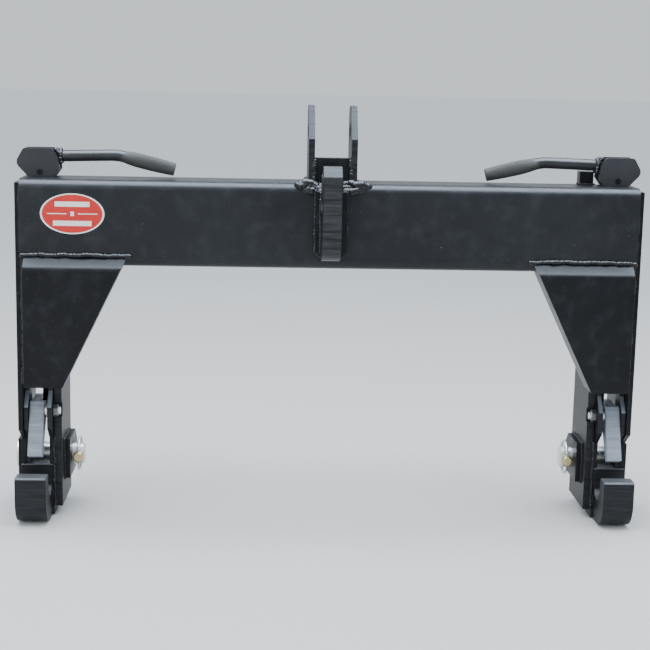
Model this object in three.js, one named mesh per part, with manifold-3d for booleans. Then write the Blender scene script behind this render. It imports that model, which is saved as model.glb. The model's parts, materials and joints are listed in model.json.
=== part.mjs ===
// Three-point quick hitch: a welded U-frame that couples a tractor's linkage to an implement.
// Millimetres, +Z up. +X runs across the frame, -Y faces the implement, +Y faces the tractor.
// The origin is midway between the two lower link pins, on their common axis.
import * as THREE from 'three';
import { mergeVertices } from 'three/addons/utils/BufferGeometryUtils.js';
import Module from 'manifold-3d';

const wasm = await Module();
wasm.setup();

// ---------------------------------------------------------------- driving dimensions
const FIT_GAP = 0.3;             // clearance left between welded or seated pieces
const HOOK_SPACING = 965;        // between the centre planes of the lower hooks
const MAST_HEIGHT = 483;         // lower hook seat to top hook seat
const HOOK_OVERLAP = 1.4;        // lower hook past the outer leg plate's outer face

const BEAM_HEIGHT = 138;
const BEAM_DEPTH = 100;
const BEAM_WALL = 8;
const BEAM_CORNER = 15;
const BEAM_FRONT_Y = -112;       // front face of the beam, ahead of the link pin axis
const TOP_PIN_RISE = 115.4;      // top implement pin above the beam's underside
const BEAM_HOLE_EASE = 2;        // round the release rod

const OUTER_PLATE = 7.5;         // thickness of the outer leg plate
const OUTER_PLATE_FRONT = 8;     // its front edge, behind the beam's front face
const CLEVIS_WIDTH = 46;         // between the leg plates, room for a tractor link ball
const INNER_PLATE = 13;
const LEG_REAR = 152;            // rear edge of both leg plates, behind the beam's front face
const LEG_BOTTOM_Z = -73;
const BOSS_PLATE = 9.6;
const BOSS_FRONT = 65;
const BOSS_REAR = 160;
const BOSS_TOP_Z = 36;
const BOSS_BOTTOM_Z = -32;
const CHEEK_PLATE = 7.4;
const CHEEK_FRONT = 14;
const CHEEK_SET_BACK = 36;       // cheek's front edge where it runs up inside the hood
const CHEEK_REAR = 62;
const CHEEK_TOP_RISE = 82;       // above the latch pivot
const CHEEK_SHOULDER_HIGH = 34;
const CHEEK_SHOULDER_LOW = 10;
const THROAT_HEIGHT = 44;        // clear height behind the implement pin's way in
const THROAT_SLANT = 22;

const HOOD_SHEET = 8;
const HOOD_PROUD = 22;           // hood's front face ahead of the beam's front face
const HOOD_REAR = 35;
const HOOD_RISE = 51;            // hood's lower edge above the latch pivot
const HOOD_LAP = 16;             // how far the hood's top edge laps up the beam
const HOOD_SLOPE_DROP = 17;      // from that edge down to the fold
const HOOD_BEND = 6;
const HOOD_TOP_WIDTH = 165;
const HOOD_FOOT_WIDTH = 62;
const HOOD_INSET = 14.5;         // hood's outer edge, inboard of the frame's outer face

const LOWER_PIN = 36.6;
const LINK_PIN_STICK_OUT = 20;   // link pin past the inner boss plate
const LINK_PIN_FLANGE = 50;
const LINK_PIN_FLANGE_DEPTH = 6;
const LINK_PIN_CHAMFER = 3;
const HOOK_THICKNESS = 50.8;
const HOOK_PIN_Y = -95;
const HOOK_PIN_Z = -28.6;
const HOOK_SEAT = 19;            // radius of the seat for the implement pin
const HOOK_BACK_WALL = 4;
const HOOK_LIP = 31;
const HOOK_LIP_TOP = 24;         // above the implement pin's centre
const HOOK_BACK_TOP = 28.6;
const HOOK_DROP = 58.4;          // underside of the hook, below the implement pin's centre
const HOOK_NOSE_RADIUS = 42;
const HOOK_TONGUE_REAR = 62;
const HOOK_HEEL_REAR = 86;
const HOOK_HEEL_Z = -62;

const LATCH_THICKNESS = 24;
const LATCH_SIDE_GAP = 0.8;      // latch to outer cheek
const LATCH_ARM = 12.2;
const LATCH_ARM_WALL = 8;        // round the slot
const LATCH_HEEL_ANGLE = -0.41;
const PIVOT_BOLT = 12.6;
const PIVOT_Y = 37;              // behind the beam's front face
const PIVOT_Z = 92;
const PIVOT_RADIUS = 17;
const LATCH_REACH = 43;          // tip ahead of the pivot
const LATCH_DROP = 66;           // tip below the pivot
const RUNNING_GAP = 0.25;        // radial clearance of a turning joint

const ROD = 9.5;
const ROD_SIDE_GAP = 1.55;       // rod to the latch's arm
const ROD_Y = 68;                // behind the beam's front face
const ROD_FOOT_Y = 82;
const ROD_FOOT_TAIL = 11;
const ROD_JOGGLE_TOP = 80;       // above the latch pivot
const ROD_JOGGLE_BOTTOM = 46;
const CROSS_PIN = 8;
const CROSS_PIN_TAIL = 1.5;
const SLOT_LENGTH = 27;
const SLOT_WIDTH = 14.5;
const GUIDE_PLATE = 8;
const GUIDE_DROP = 40;           // guide plate's top below the beam
const GUIDE_HOLE_EASE = 1;
const WASHER = 32;
const WASHER_THICKNESS = 3;
const SPRING_OUTSIDE = 29;
const SPRING_WIRE = 3.6;
const SPRING_FOOT = 18.4;        // washer's top above the rod's joggle

const CAM_PLATE = 8;
const CAM_PIN = 9.5;
const CAM_FLAT = 8.3;            // cam pin's height above the flat that rests on the beam
const CAM_PIN_TAIL = 2;
// Corners of a cam plate: towards the frame's middle, above the cam pin, and corner radius.
const CAM_CORNERS = [
  [-19, -CAM_FLAT, 5],
  [24, -CAM_FLAT, 4],
  [32.4, 4.1, 5],
  [29.2, 22.9, 3],
  [20, 37.4, 4],
  [-26, 37.4, 6],
  [-39.5, 13.4, 12],
];
const BAR = 19;
const BAR_RISE = 24;             // bar's centre line above the cam pin where it leaves the cam
const BAR_START = 24;
const BAR_BEND = 124;
const BAR_BEND_RISE = 27;
const GRIP_END = 217;
const GRIP_END_RISE = 5;

const EAR_GAP = 58.6;
const EAR_THICKNESS = 9.7;
const EAR_HEIGHT = 122;          // above the beam
const EAR_KINK = 71;
const EAR_LEAN = 36;
const TOP_LINK_HOLE = 32.4;
const TOP_LINK_Y = 60;
const TOP_LINK_RISE = 78;        // above the beam
const CROSS_PLATE = 10;
const CROSS_PLATE_HEIGHT = 41;
const TOP_HOOK_THICKNESS = 30;
const TOP_HOOK_SHIFT = -4.5;     // hook's centre plane, off the frame's
const TOP_SEAT = 16.4;
const TOP_HOOK_OVERHANG = 58;    // top implement pin ahead of the beam's front face
const TOP_HOOK_NOSE = 30.6;
const TOP_HOOK_TIP = 57;         // tip of the nose, above the top implement pin
const TOP_HOOK_RADIUS = 47;
const TOP_HOOK_BELLY = 93;
const BACKING_WIDTH = 50.8;
const BACKING_DEPTH = 26;
const BACKING_SHIFT = -2;
const BACKING_CUT = 12;
const BACKING_FOOT = 3;          // below the hook's belly
const BACKING_HEAD = 13;         // above the top implement pin

const LINCHPIN = 11;
const LINCHPIN_X = 9;            // from the link pin's inner end
const RING_RADIUS = 28;
const RING_WIRE = 4.5;
const LABEL_WIDTH = 102;
const LABEL_HEIGHT = 65;
const LABEL_INSET = 92.5;        // label's centre from the frame's outer face
const LABEL_RISE = 84;           // label's centre above the beam's underside
const STOP_WIDTH = 23;
const STOP_DEPTH = 24;
const STOP_HEIGHT = 21;
const STOP_GAP = 2.5;            // clear of the cam's sweep

const PLATE_TOP_DROP = 6;        // outer leg plate's top edge below the beam's top
const LEG_SHOULDER = 60;
const BOSS_CHAMFER = 22;
const BOLT_HEAD = 20;
const BOLT_HEAD_HEIGHT = 4.2;
const BOLT_TAIL = 4;
const SPACER_WALL = 5;
const NUT_ACROSS = 19;
const NUT_HEIGHT = 8;
const NUT_RELIEF = 2.5;
const EASE = 3;                  // small bevels on flame-cut edges
const TIP_THICKNESS = 13;
const TIP_BEVEL = 6;
const LATCH_BROW = 6;
const ROD_EYE = 16;
const ROD_EYE_WIDTH = 16;
const ROD_BEND_STEPS = 8;
const BEND_REACH = 11;           // bar's bend, either side of its corner
const BEND_STEPS = 4;
// Flattened grip: share of the way from bend to end, width and height there.
const GRIP_SECTIONS = [[0.25, 17, 23], [0.45, 15, 24.5], [0.7, 15, 24], [0.9, 16, 22], [1, 17, 21]];
const EAR_FOOT = 3;
const EAR_CHAMFER = 14;
const TIP_SLOPE = 16;
const TIP_FLAT = 4;
const TOP_HOOK_STEP = 5;
const LINCHPIN_HEAD = 18;
const LINCHPIN_HEAD_END = 34;
const LINCHPIN_CHAMFER = 2;
const LINCHPIN_TAIL = 6;
const LABEL_THICKNESS = 0.5;

// ---------------------------------------------------------------- places worked out from them
const halfWidth = (HOOK_SPACING + HOOK_THICKNESS) / 2 - HOOK_OVERLAP;
const topPinZ = HOOK_PIN_Z + MAST_HEIGHT;
const beamBottomZ = topPinZ - TOP_PIN_RISE;
const beamTopZ = beamBottomZ + BEAM_HEIGHT;
const beamRearY = BEAM_FRONT_Y + BEAM_DEPTH;
const behind = (distance) => BEAM_FRONT_Y + distance;

const outerPlateX = [halfWidth - OUTER_PLATE, halfWidth];
const innerPlateX = [outerPlateX[0] - CLEVIS_WIDTH - INNER_PLATE, outerPlateX[0] - CLEVIS_WIDTH];
const outerCheekX = [outerPlateX[0] - FIT_GAP - CHEEK_PLATE, outerPlateX[0] - FIT_GAP];
const innerCheekX = [innerPlateX[1] + FIT_GAP, innerPlateX[1] + FIT_GAP + CHEEK_PLATE];
const innerBossX = [innerPlateX[0] - FIT_GAP - BOSS_PLATE, innerPlateX[0] - FIT_GAP];
const outerBossX = [outerPlateX[1] + FIT_GAP, outerPlateX[1] + FIT_GAP + BOSS_PLATE];
const hookX = [(HOOK_SPACING - HOOK_THICKNESS) / 2, (HOOK_SPACING + HOOK_THICKNESS) / 2];
const tongueX = [innerPlateX[1] + FIT_GAP, outerPlateX[0] - FIT_GAP];
const latchX = [outerCheekX[0] - LATCH_SIDE_GAP - LATCH_THICKNESS, outerCheekX[0] - LATCH_SIDE_GAP];
const linkPinX = [innerBossX[0] - LINK_PIN_STICK_OUT, outerBossX[1] + FIT_GAP];
const linchpinX = linkPinX[0] + LINCHPIN_X;

const hookBackY = HOOK_PIN_Y + HOOK_SEAT + HOOK_BACK_WALL;
const hookTopZ = HOOK_PIN_Z + HOOK_BACK_TOP;
const throatTopZ = hookTopZ + THROAT_HEIGHT;
const legFrontY = hookBackY + FIT_GAP;
const topPinY = BEAM_FRONT_Y - TOP_HOOK_OVERHANG;
const pivotY = behind(PIVOT_Y);
const rodY = behind(ROD_Y);
const rodFootY = behind(ROD_FOOT_Y);
const rodX = latchX[1] - LATCH_ARM - ROD_SIDE_GAP - ROD / 2;
const camPinZ = beamTopZ + FIT_GAP + CAM_FLAT;
const camGap = BAR + 2 * FIT_GAP;
const camReach = Math.max(...CAM_CORNERS.map(([reach]) => reach)) + STOP_GAP;
const guideTopZ = beamBottomZ - GUIDE_DROP;
const springTopZ = guideTopZ - GUIDE_PLATE - FIT_GAP;
const joggleZ = [PIVOT_Z + ROD_JOGGLE_BOTTOM, PIVOT_Z + ROD_JOGGLE_TOP];
const washerTopZ = joggleZ[1] + SPRING_FOOT;
const springLength = springTopZ - washerTopZ - FIT_GAP;
const hoodBottomZ = PIVOT_Z + HOOD_RISE;
const hoodTopZ = beamBottomZ + HOOD_LAP;
const hoodRearY = behind(HOOD_REAR);
const hoodSlope = HOOD_SLOPE_DROP / HOOD_PROUD;

// ---------------------------------------------------------------- finishes
const finish = (color, roughness, metalness) =>
  () => new THREE.MeshStandardMaterial({ color, roughness, metalness });
const blackPaint = finish(0x23262b, 0.35, 0.2);
const satinPaint = finish(0x2f3338, 0.45, 0.25);
const gripPaint = finish(0x5a5f62, 0.5, 0.4);
const latchPaint = finish(0x8a929e, 0.4, 0.4);
const zinc = finish(0xd8d8d2, 0.3, 0.85);
const yellowZinc = finish(0xc9b25a, 0.35, 0.8);
const springSteel = finish(0x5a5c5e, 0.4, 0.7);
const redPrint = finish(0xe0372c, 0.5, 0);

// ---------------------------------------------------------------- solids
const hitch = new THREE.Group();
const sides = [['left', -1], ['right', 1]];

function place(name, geometry, material, x = 0, y = 0, z = 0) {
  const mesh = new THREE.Mesh(geometry, material());
  mesh.name = name;
  mesh.position.set(x, y, z);
  hitch.add(mesh);
  return mesh;
}

function outline(points) {
  return new THREE.Shape(points.map(([a, b]) => new THREE.Vector2(a, b)));
}

function roundHole(shape, a, b, radius) {
  const hole = new THREE.Path();
  hole.absarc(a, b, radius, 0, Math.PI * 2);
  shape.holes.push(hole);
  return shape;
}

function extrude(shape, length, curveSegments = 10) {
  const geometry = new THREE.ExtrudeGeometry(shape, { depth: length, bevelEnabled: false, curveSegments });
  return geometry.translate(0, 0, -length / 2);
}

// A plate whose outline is drawn in Y and Z, centred on x = 0.
function plateAcrossX(shape, thickness, curveSegments) {
  const axes = new THREE.Matrix4().makeBasis(
    new THREE.Vector3(0, 1, 0),
    new THREE.Vector3(0, 0, 1),
    new THREE.Vector3(1, 0, 0),
  );
  return extrude(shape, thickness, curveSegments).applyMatrix4(axes);
}

// A plate whose outline is drawn in X and Z, centred on y = 0.
function plateAcrossY(shape, thickness, curveSegments) {
  return extrude(shape, thickness, curveSegments).rotateX(Math.PI / 2);
}

function solid(geometry) {
  const bare = geometry.index ? geometry.toNonIndexed() : geometry.clone();
  bare.deleteAttribute('normal');
  bare.deleteAttribute('uv');
  const merged = mergeVertices(bare, 1e-4);
  const vertProperties = new Float32Array(merged.attributes.position.array);
  const triVerts = new Uint32Array(merged.index.array);
  return new wasm.Manifold(new wasm.Mesh({ numProp: 3, vertProperties, triVerts }));
}

function geometryOf(body) {
  const mesh = body.getMesh();
  const geometry = new THREE.BufferGeometry();
  geometry.setAttribute('position', new THREE.BufferAttribute(mesh.vertProperties, 3));
  geometry.setIndex(new THREE.BufferAttribute(mesh.triVerts, 1));
  geometry.computeVertexNormals();
  return geometry;
}

function block(low, high) {
  const size = high.map((value, axis) => value - low[axis]);
  const middle = high.map((value, axis) => (value + low[axis]) / 2);
  return new THREE.BoxGeometry(...size).translate(...middle);
}

function rodAlong(axis, radius, low, high, segments = 24) {
  const geometry = new THREE.CylinderGeometry(radius, radius, high - low, segments);
  const centre = (low + high) / 2;
  if (axis === 'x') return geometry.rotateZ(-Math.PI / 2).translate(centre, 0, 0);
  if (axis === 'y') return geometry.translate(0, centre, 0);
  return geometry.rotateX(Math.PI / 2).translate(0, 0, centre);
}

// A hollow round sleeve standing on Z.
function sleeve(inner, outer, low, high, segments = 32) {
  const profile = [[inner, low], [outer, low], [outer, high], [inner, high], [inner, low]];
  const points = profile.map(([radius, height]) => new THREE.Vector2(radius, height));
  return new THREE.LatheGeometry(points, segments).rotateX(Math.PI / 2);
}

const middleOf = ([low, high]) => (low + high) / 2;
const widthOf = ([low, high]) => high - low;

// ---------------------------------------------------------------- beam
function roundedRectangle(width, height, radius) {
  const shape = new THREE.Shape();
  const [right, top] = [width / 2, height / 2];
  shape.absarc(right - radius, top - radius, radius, 0, Math.PI / 2);
  shape.absarc(radius - right, top - radius, radius, Math.PI / 2, Math.PI);
  shape.absarc(radius - right, radius - top, radius, Math.PI, Math.PI * 1.5);
  shape.absarc(right - radius, radius - top, radius, Math.PI * 1.5, Math.PI * 2);
  return shape;
}

function beam() {
  const length = 2 * (outerPlateX[0] - FIT_GAP);
  const [middleY, middleZ] = [BEAM_FRONT_Y + BEAM_DEPTH / 2, beamBottomZ + BEAM_HEIGHT / 2];
  const section = roundedRectangle(BEAM_DEPTH, BEAM_HEIGHT, BEAM_CORNER);
  const innerDepth = BEAM_DEPTH - 2 * BEAM_WALL;
  const innerHeight = BEAM_HEIGHT - 2 * BEAM_WALL;
  const bore = roundedRectangle(innerDepth, innerHeight, BEAM_CORNER - BEAM_WALL);
  let body = solid(plateAcrossX(section, length, 6));
  body = body.subtract(solid(plateAcrossX(bore, length + 2, 4)));
  for (const [, side] of sides) {
    const hole = rodAlong('z', ROD / 2 + BEAM_HOLE_EASE, -BEAM_HEIGHT, BEAM_HEIGHT, 20);
    body = body.subtract(solid(hole.translate(side * rodX, rodY - middleY, 0)));
  }
  place('beam_tube', geometryOf(body), satinPaint, 0, middleY, middleZ);
}

// ---------------------------------------------------------------- legs
function outerLegPlate(side) {
  const [frontY, rearY] = [behind(OUTER_PLATE_FRONT), behind(LEG_REAR)];
  const shape = outline([
    [frontY, throatTopZ + THROAT_SLANT],
    [frontY, beamTopZ - PLATE_TOP_DROP],
    [beamRearY, beamTopZ - PLATE_TOP_DROP],
    [beamRearY, beamBottomZ],
    [rearY, beamBottomZ - LEG_SHOULDER],
    [rearY, LEG_BOTTOM_Z],
    [legFrontY, LEG_BOTTOM_Z],
    [legFrontY, throatTopZ],
  ]);
  roundHole(shape, 0, 0, LOWER_PIN / 2 + FIT_GAP);
  const bore = rodAlong('x', PIVOT_BOLT / 2 + FIT_GAP, -OUTER_PLATE, OUTER_PLATE);
  const recess = rodAlong('x', BOLT_HEAD / 2 + FIT_GAP, -BOLT_HEAD_HEIGHT, BOLT_HEAD_HEIGHT);
  const body = solid(plateAcrossX(shape, OUTER_PLATE))
    .subtract(solid(bore.translate(0, pivotY, PIVOT_Z)))
    .subtract(solid(recess.translate(side * OUTER_PLATE / 2, pivotY, PIVOT_Z)));
  return geometryOf(body);
}

function innerLegPlate() {
  const rearY = behind(LEG_REAR);
  const nut = NUT_ACROSS / 2 + NUT_RELIEF;
  const shape = outline([
    [legFrontY, LEG_BOTTOM_Z],
    [rearY, LEG_BOTTOM_Z],
    [rearY, beamBottomZ - LEG_SHOULDER],
    [beamRearY, beamBottomZ - FIT_GAP],
    [legFrontY, beamBottomZ - FIT_GAP],
    [legFrontY, PIVOT_Z + nut],
    [pivotY + nut, PIVOT_Z + nut],
    [pivotY + nut, PIVOT_Z - nut],
    [legFrontY, PIVOT_Z - nut],
  ]);
  roundHole(shape, 0, 0, LOWER_PIN / 2 + FIT_GAP);
  return plateAcrossX(shape, INNER_PLATE);
}

// The cheeks stand on the hook's back, carry the latch pivot and run up inside the hood.
// Low down they are cut back, so that the implement pin can drop into the hook.
function latchCheek() {
  const [frontY, backY, rearY] = [CHEEK_FRONT, CHEEK_SET_BACK, CHEEK_REAR].map(behind);
  const shape = outline([
    [legFrontY, hookTopZ + FIT_GAP],
    [rearY, hookTopZ + FIT_GAP],
    [rearY, PIVOT_Z + CHEEK_TOP_RISE],
    [backY, PIVOT_Z + CHEEK_TOP_RISE],
    [backY, PIVOT_Z + CHEEK_SHOULDER_HIGH],
    [frontY, PIVOT_Z + CHEEK_SHOULDER_LOW],
    [frontY, throatTopZ + THROAT_SLANT],
    [legFrontY, throatTopZ],
  ]);
  roundHole(shape, pivotY, PIVOT_Z, PIVOT_BOLT / 2 + FIT_GAP);
  return plateAcrossX(shape, CHEEK_PLATE);
}

function bossPlate(chamfer) {
  const [frontY, rearY] = [behind(BOSS_FRONT), behind(BOSS_REAR)];
  const shape = outline([
    [frontY, BOSS_BOTTOM_Z],
    [rearY - chamfer, BOSS_BOTTOM_Z],
    [rearY, BOSS_BOTTOM_Z + chamfer],
    [rearY, BOSS_TOP_Z - chamfer],
    [rearY - chamfer, BOSS_TOP_Z],
    [frontY, BOSS_TOP_Z],
  ]);
  roundHole(shape, 0, 0, LOWER_PIN / 2 + FIT_GAP);
  return plateAcrossX(shape, BOSS_PLATE);
}

// A pin with a welded flange outside and a cross hole for the linchpin inside.
function lowerLinkPin(side) {
  const radius = LOWER_PIN / 2;
  const [inner, outer] = linkPinX;
  const profile = [
    [0, inner],
    [radius - LINK_PIN_CHAMFER, inner],
    [radius, inner + LINK_PIN_CHAMFER],
    [radius, outer],
    [LINK_PIN_FLANGE / 2, outer],
    [LINK_PIN_FLANGE / 2, outer + LINK_PIN_FLANGE_DEPTH],
    [0, outer + LINK_PIN_FLANGE_DEPTH],
  ];
  const points = profile.map(([r, x]) => new THREE.Vector2(r, x));
  const turned = new THREE.LatheGeometry(points, 40).rotateZ(-side * Math.PI / 2);
  const cross = rodAlong('y', LINCHPIN / 2 + FIT_GAP, -LOWER_PIN, LOWER_PIN);
  return geometryOf(solid(turned).subtract(solid(cross.translate(side * linchpinX, 0, 0))));
}

// ---------------------------------------------------------------- hoods
// The sheet's outline in Y and Z: it laps up the beam, slopes forward, then drops flat.
function hoodSection() {
  const shape = new THREE.Shape();
  const [frontY, beamY] = [BEAM_FRONT_Y - HOOD_PROUD, BEAM_FRONT_Y - FIT_GAP];
  const foldZ = hoodTopZ - HOOD_SLOPE_DROP;
  shape.moveTo(hoodRearY, hoodBottomZ);
  shape.lineTo(hoodRearY, beamBottomZ - FIT_GAP);
  shape.lineTo(beamY, beamBottomZ - FIT_GAP);
  shape.lineTo(beamY, hoodTopZ);
  shape.lineTo(frontY + HOOD_BEND, foldZ + HOOD_BEND * hoodSlope);
  shape.quadraticCurveTo(frontY, foldZ, frontY, foldZ - HOOD_BEND);
  shape.lineTo(frontY, hoodBottomZ);
  return shape;
}

// What the sheet leaves hollow, running a little past its open sides.
function hoodHollow() {
  const roofZ = hoodTopZ - HOOD_SHEET * Math.hypot(1, hoodSlope);
  const [frontY, beamY] = [BEAM_FRONT_Y - HOOD_PROUD + HOOD_SHEET, BEAM_FRONT_Y + 1];
  return outline([
    [frontY, hoodBottomZ - 1],
    [hoodRearY + 1, hoodBottomZ - 1],
    [hoodRearY + 1, beamBottomZ + 1],
    [beamY, beamBottomZ + 1],
    [beamY, roofZ],
    [frontY, roofZ - (beamY - frontY) * hoodSlope],
  ]);
}

// The hood seen from the front, shrunk by an inset.
function hoodFace(side, inset) {
  const outer = halfWidth - HOOD_INSET - inset;
  const lean = (HOOD_TOP_WIDTH - HOOD_FOOT_WIDTH) / (hoodTopZ - hoodBottomZ);
  const footX = halfWidth - HOOD_INSET - HOOD_FOOT_WIDTH + inset * Math.hypot(1, lean);
  const innerAt = (z) => footX - (z - hoodBottomZ) * lean;
  const [low, high] = [hoodBottomZ - inset, hoodTopZ + 1];
  const corners = [[outer, low], [outer, high], [innerAt(high), high], [innerAt(low), low]];
  return outline(corners.map(([x, z]) => [side * x, z]));
}

function hoodSolid(section, face) {
  const prism = solid(plateAcrossX(section, 2 * halfWidth));
  return prism.intersect(solid(plateAcrossY(face, 4 * halfWidth)));
}

// A folded sheet: sloping top, flat face and two side walls, open below and behind.
function gussetHood(side) {
  const shell = hoodSolid(hoodSection(), hoodFace(side, 0));
  return geometryOf(shell.subtract(hoodSolid(hoodHollow(), hoodFace(side, HOOD_SHEET))));
}

function rodGuidePlate(side) {
  const [low, high] = [innerPlateX[1] + FIT_GAP, outerPlateX[0] - FIT_GAP];
  const [frontY, rearY] = [hoodRearY + FIT_GAP, beamRearY];
  const plate = solid(block([low, frontY, -GUIDE_PLATE / 2], [high, rearY, GUIDE_PLATE / 2]));
  const hole = rodAlong('z', ROD / 2 + GUIDE_HOLE_EASE, -GUIDE_PLATE, GUIDE_PLATE, 20);
  const body = plate.subtract(solid(hole.translate(rodX, rodY, 0)));
  return geometryOf(side > 0 ? body : body.mirror([1, 0, 0]));
}

// ---------------------------------------------------------------- lower hooks
function hookProfile() {
  const shape = new THREE.Shape();
  const lipFrontY = HOOK_PIN_Y - HOOK_SEAT - HOOK_LIP;
  const [lipZ, bottomZ] = [HOOK_PIN_Z + HOOK_LIP_TOP, HOOK_PIN_Z - HOOK_DROP];
  shape.moveTo(lipFrontY + EASE, lipZ);
  shape.lineTo(lipFrontY, lipZ - EASE);
  shape.lineTo(lipFrontY, bottomZ + HOOK_NOSE_RADIUS);
  const [noseY, noseZ] = [lipFrontY + HOOK_NOSE_RADIUS, bottomZ + HOOK_NOSE_RADIUS];
  shape.absarc(noseY, noseZ, HOOK_NOSE_RADIUS, Math.PI, Math.PI * 1.5);
  shape.lineTo(hookBackY, bottomZ);
  shape.lineTo(hookBackY, hookTopZ);
  shape.lineTo(HOOK_PIN_Y + HOOK_SEAT, hookTopZ);
  shape.absarc(HOOK_PIN_Y, HOOK_PIN_Z, HOOK_SEAT, 0, -Math.PI, true);
  shape.lineTo(HOOK_PIN_Y - HOOK_SEAT, lipZ - EASE);
  shape.lineTo(HOOK_PIN_Y - HOOK_SEAT - EASE, lipZ);
  return shape;
}

function hookTongue() {
  const bottomZ = HOOK_PIN_Z - HOOK_DROP;
  return outline([
    [hookBackY - EASE / 2, bottomZ],
    [behind(HOOK_HEEL_REAR) - EASE, bottomZ],
    [behind(HOOK_HEEL_REAR), bottomZ + EASE],
    [behind(HOOK_HEEL_REAR), HOOK_HEEL_Z],
    [behind(HOOK_TONGUE_REAR), HOOK_HEEL_Z + behind(HOOK_HEEL_REAR) - behind(HOOK_TONGUE_REAR)],
    [behind(HOOK_TONGUE_REAR), hookTopZ],
    [hookBackY - EASE / 2, hookTopZ],
  ]);
}

// A flame-cut hook with a tongue at its back that fills the space between the leg plates.
function lowerHook(side) {
  const front = solid(plateAcrossX(hookProfile(), HOOK_THICKNESS));
  const tongue = solid(plateAcrossX(hookTongue(), widthOf(tongueX)));
  const shift = side * (middleOf(tongueX) - middleOf(hookX));
  return geometryOf(front.add(tongue.translate([shift, 0, 0])));
}

// ---------------------------------------------------------------- latches
function slotShape(a, b, length, width) {
  const slot = new THREE.Shape();
  const radius = width / 2;
  slot.absarc(a + length - width, b, radius, -Math.PI / 2, Math.PI / 2);
  slot.absarc(a, b, radius, Math.PI / 2, Math.PI * 1.5);
  return slot;
}

// A straight front blade on the pivot, and a thinner arm behind it with a slot for the rod's pin.
function latch(side) {
  const tip = [-LATCH_REACH, -LATCH_DROP];
  const blade = new THREE.Shape();
  blade.moveTo(...tip);
  blade.lineTo(tip[0] + TIP_THICKNESS, tip[1] - TIP_BEVEL);
  blade.absarc(0, 0, PIVOT_RADIUS, LATCH_HEEL_ANGLE, Math.PI / 2);
  blade.lineTo(-LATCH_BROW, PIVOT_RADIUS);
  const arm = new THREE.Shape();
  const pinY = rodFootY - pivotY;
  const halfArm = SLOT_WIDTH / 2 + LATCH_ARM_WALL;
  const armTip = slotShape(pinY, 0, SLOT_LENGTH + 2 * LATCH_ARM_WALL, 2 * halfArm);
  arm.moveTo(0, EASE - PIVOT_RADIUS);
  arm.lineTo(pinY, EASE / 2 - halfArm);
  arm.lineTo(pinY, halfArm - EASE / 2);
  arm.lineTo(0, PIVOT_RADIUS - EASE);
  const armSolid = solid(plateAcrossX(arm, LATCH_ARM)).add(solid(plateAcrossX(armTip, LATCH_ARM)));
  const offset = side * (LATCH_THICKNESS - LATCH_ARM) / 2;
  const slot = solid(plateAcrossX(slotShape(pinY, 0, SLOT_LENGTH, SLOT_WIDTH), LATCH_THICKNESS * 2));
  const bore = solid(rodAlong('x', PIVOT_BOLT / 2 + RUNNING_GAP, -LATCH_THICKNESS, LATCH_THICKNESS, 32));
  const body = solid(plateAcrossX(blade, LATCH_THICKNESS))
    .add(armSolid.translate([offset, 0, 0]))
    .subtract(slot)
    .subtract(bore);
  return geometryOf(body);
}

function pivotBolt(side) {
  const headX = outerPlateX[1] - FIT_GAP;
  const shankEnd = innerCheekX[0] - NUT_HEIGHT - BOLT_TAIL;
  const shank = rodAlong('x', PIVOT_BOLT / 2, shankEnd, headX - 1);
  const head = rodAlong('x', BOLT_HEAD / 2, headX - BOLT_HEAD_HEIGHT + 2 * FIT_GAP, headX);
  const body = solid(shank).add(solid(head));
  return geometryOf(side > 0 ? body : body.mirror([1, 0, 0]));
}

function pivotNut() {
  const corner = NUT_ACROSS / Math.sqrt(3);
  const nut = new THREE.CylinderGeometry(corner, corner, NUT_HEIGHT, 6);
  const bore = rodAlong('x', PIVOT_BOLT / 2 + RUNNING_GAP, -NUT_HEIGHT, NUT_HEIGHT);
  return geometryOf(solid(nut.rotateZ(Math.PI / 2)).subtract(solid(bore)));
}

function pivotSpacer() {
  const length = latchX[0] - innerCheekX[1] - 2 * FIT_GAP;
  const tube = sleeve(PIVOT_BOLT / 2 + RUNNING_GAP, PIVOT_BOLT / 2 + SPACER_WALL, -length / 2, length / 2);
  return tube.rotateY(Math.PI / 2);
}

// ---------------------------------------------------------------- release rods and springs
function ring(centre, across, up, halfAcross, halfUp, count) {
  const points = [];
  for (let index = 0; index < count; index += 1) {
    const angle = (index / count) * Math.PI * 2;
    const offset = across.clone().multiplyScalar(Math.cos(angle) * halfAcross);
    points.push(centre.clone().add(offset).addScaledVector(up, Math.sin(angle) * halfUp));
  }
  return points;
}

// A bar through stations of [centre, width, depth], its width always lying along `across`.
function sweptBar(stations, across, count) {
  const rings = stations.map(([centre, width, depth], index) => {
    const [before] = stations[Math.max(index - 1, 0)];
    const [after] = stations[Math.min(index + 1, stations.length - 1)];
    const along = after.clone().sub(before).normalize();
    const up = new THREE.Vector3().crossVectors(along, across);
    return ring(centre, across, up, width / 2, depth / 2, count);
  });
  return solid(loft(rings));
}

// A closed skin through rings that all have the same number of points, capped at both ends.
function loft(rings) {
  const count = rings[0].length;
  const positions = rings.flat().flatMap((point) => point.toArray());
  const faces = [];
  for (let level = 0; level + 1 < rings.length; level += 1) {
    for (let index = 0; index < count; index += 1) {
      const [a, b] = [level * count + index, level * count + ((index + 1) % count)];
      faces.push(a, b, b + count, a, b + count, a + count);
    }
  }
  const last = (rings.length - 1) * count;
  for (let index = 1; index + 1 < count; index += 1) {
    faces.push(0, index + 1, index, last, last + index, last + index + 1);
  }
  const geometry = new THREE.BufferGeometry();
  geometry.setAttribute('position', new THREE.Float32BufferAttribute(positions, 3));
  geometry.setIndex(faces);
  return geometry;
}

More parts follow.
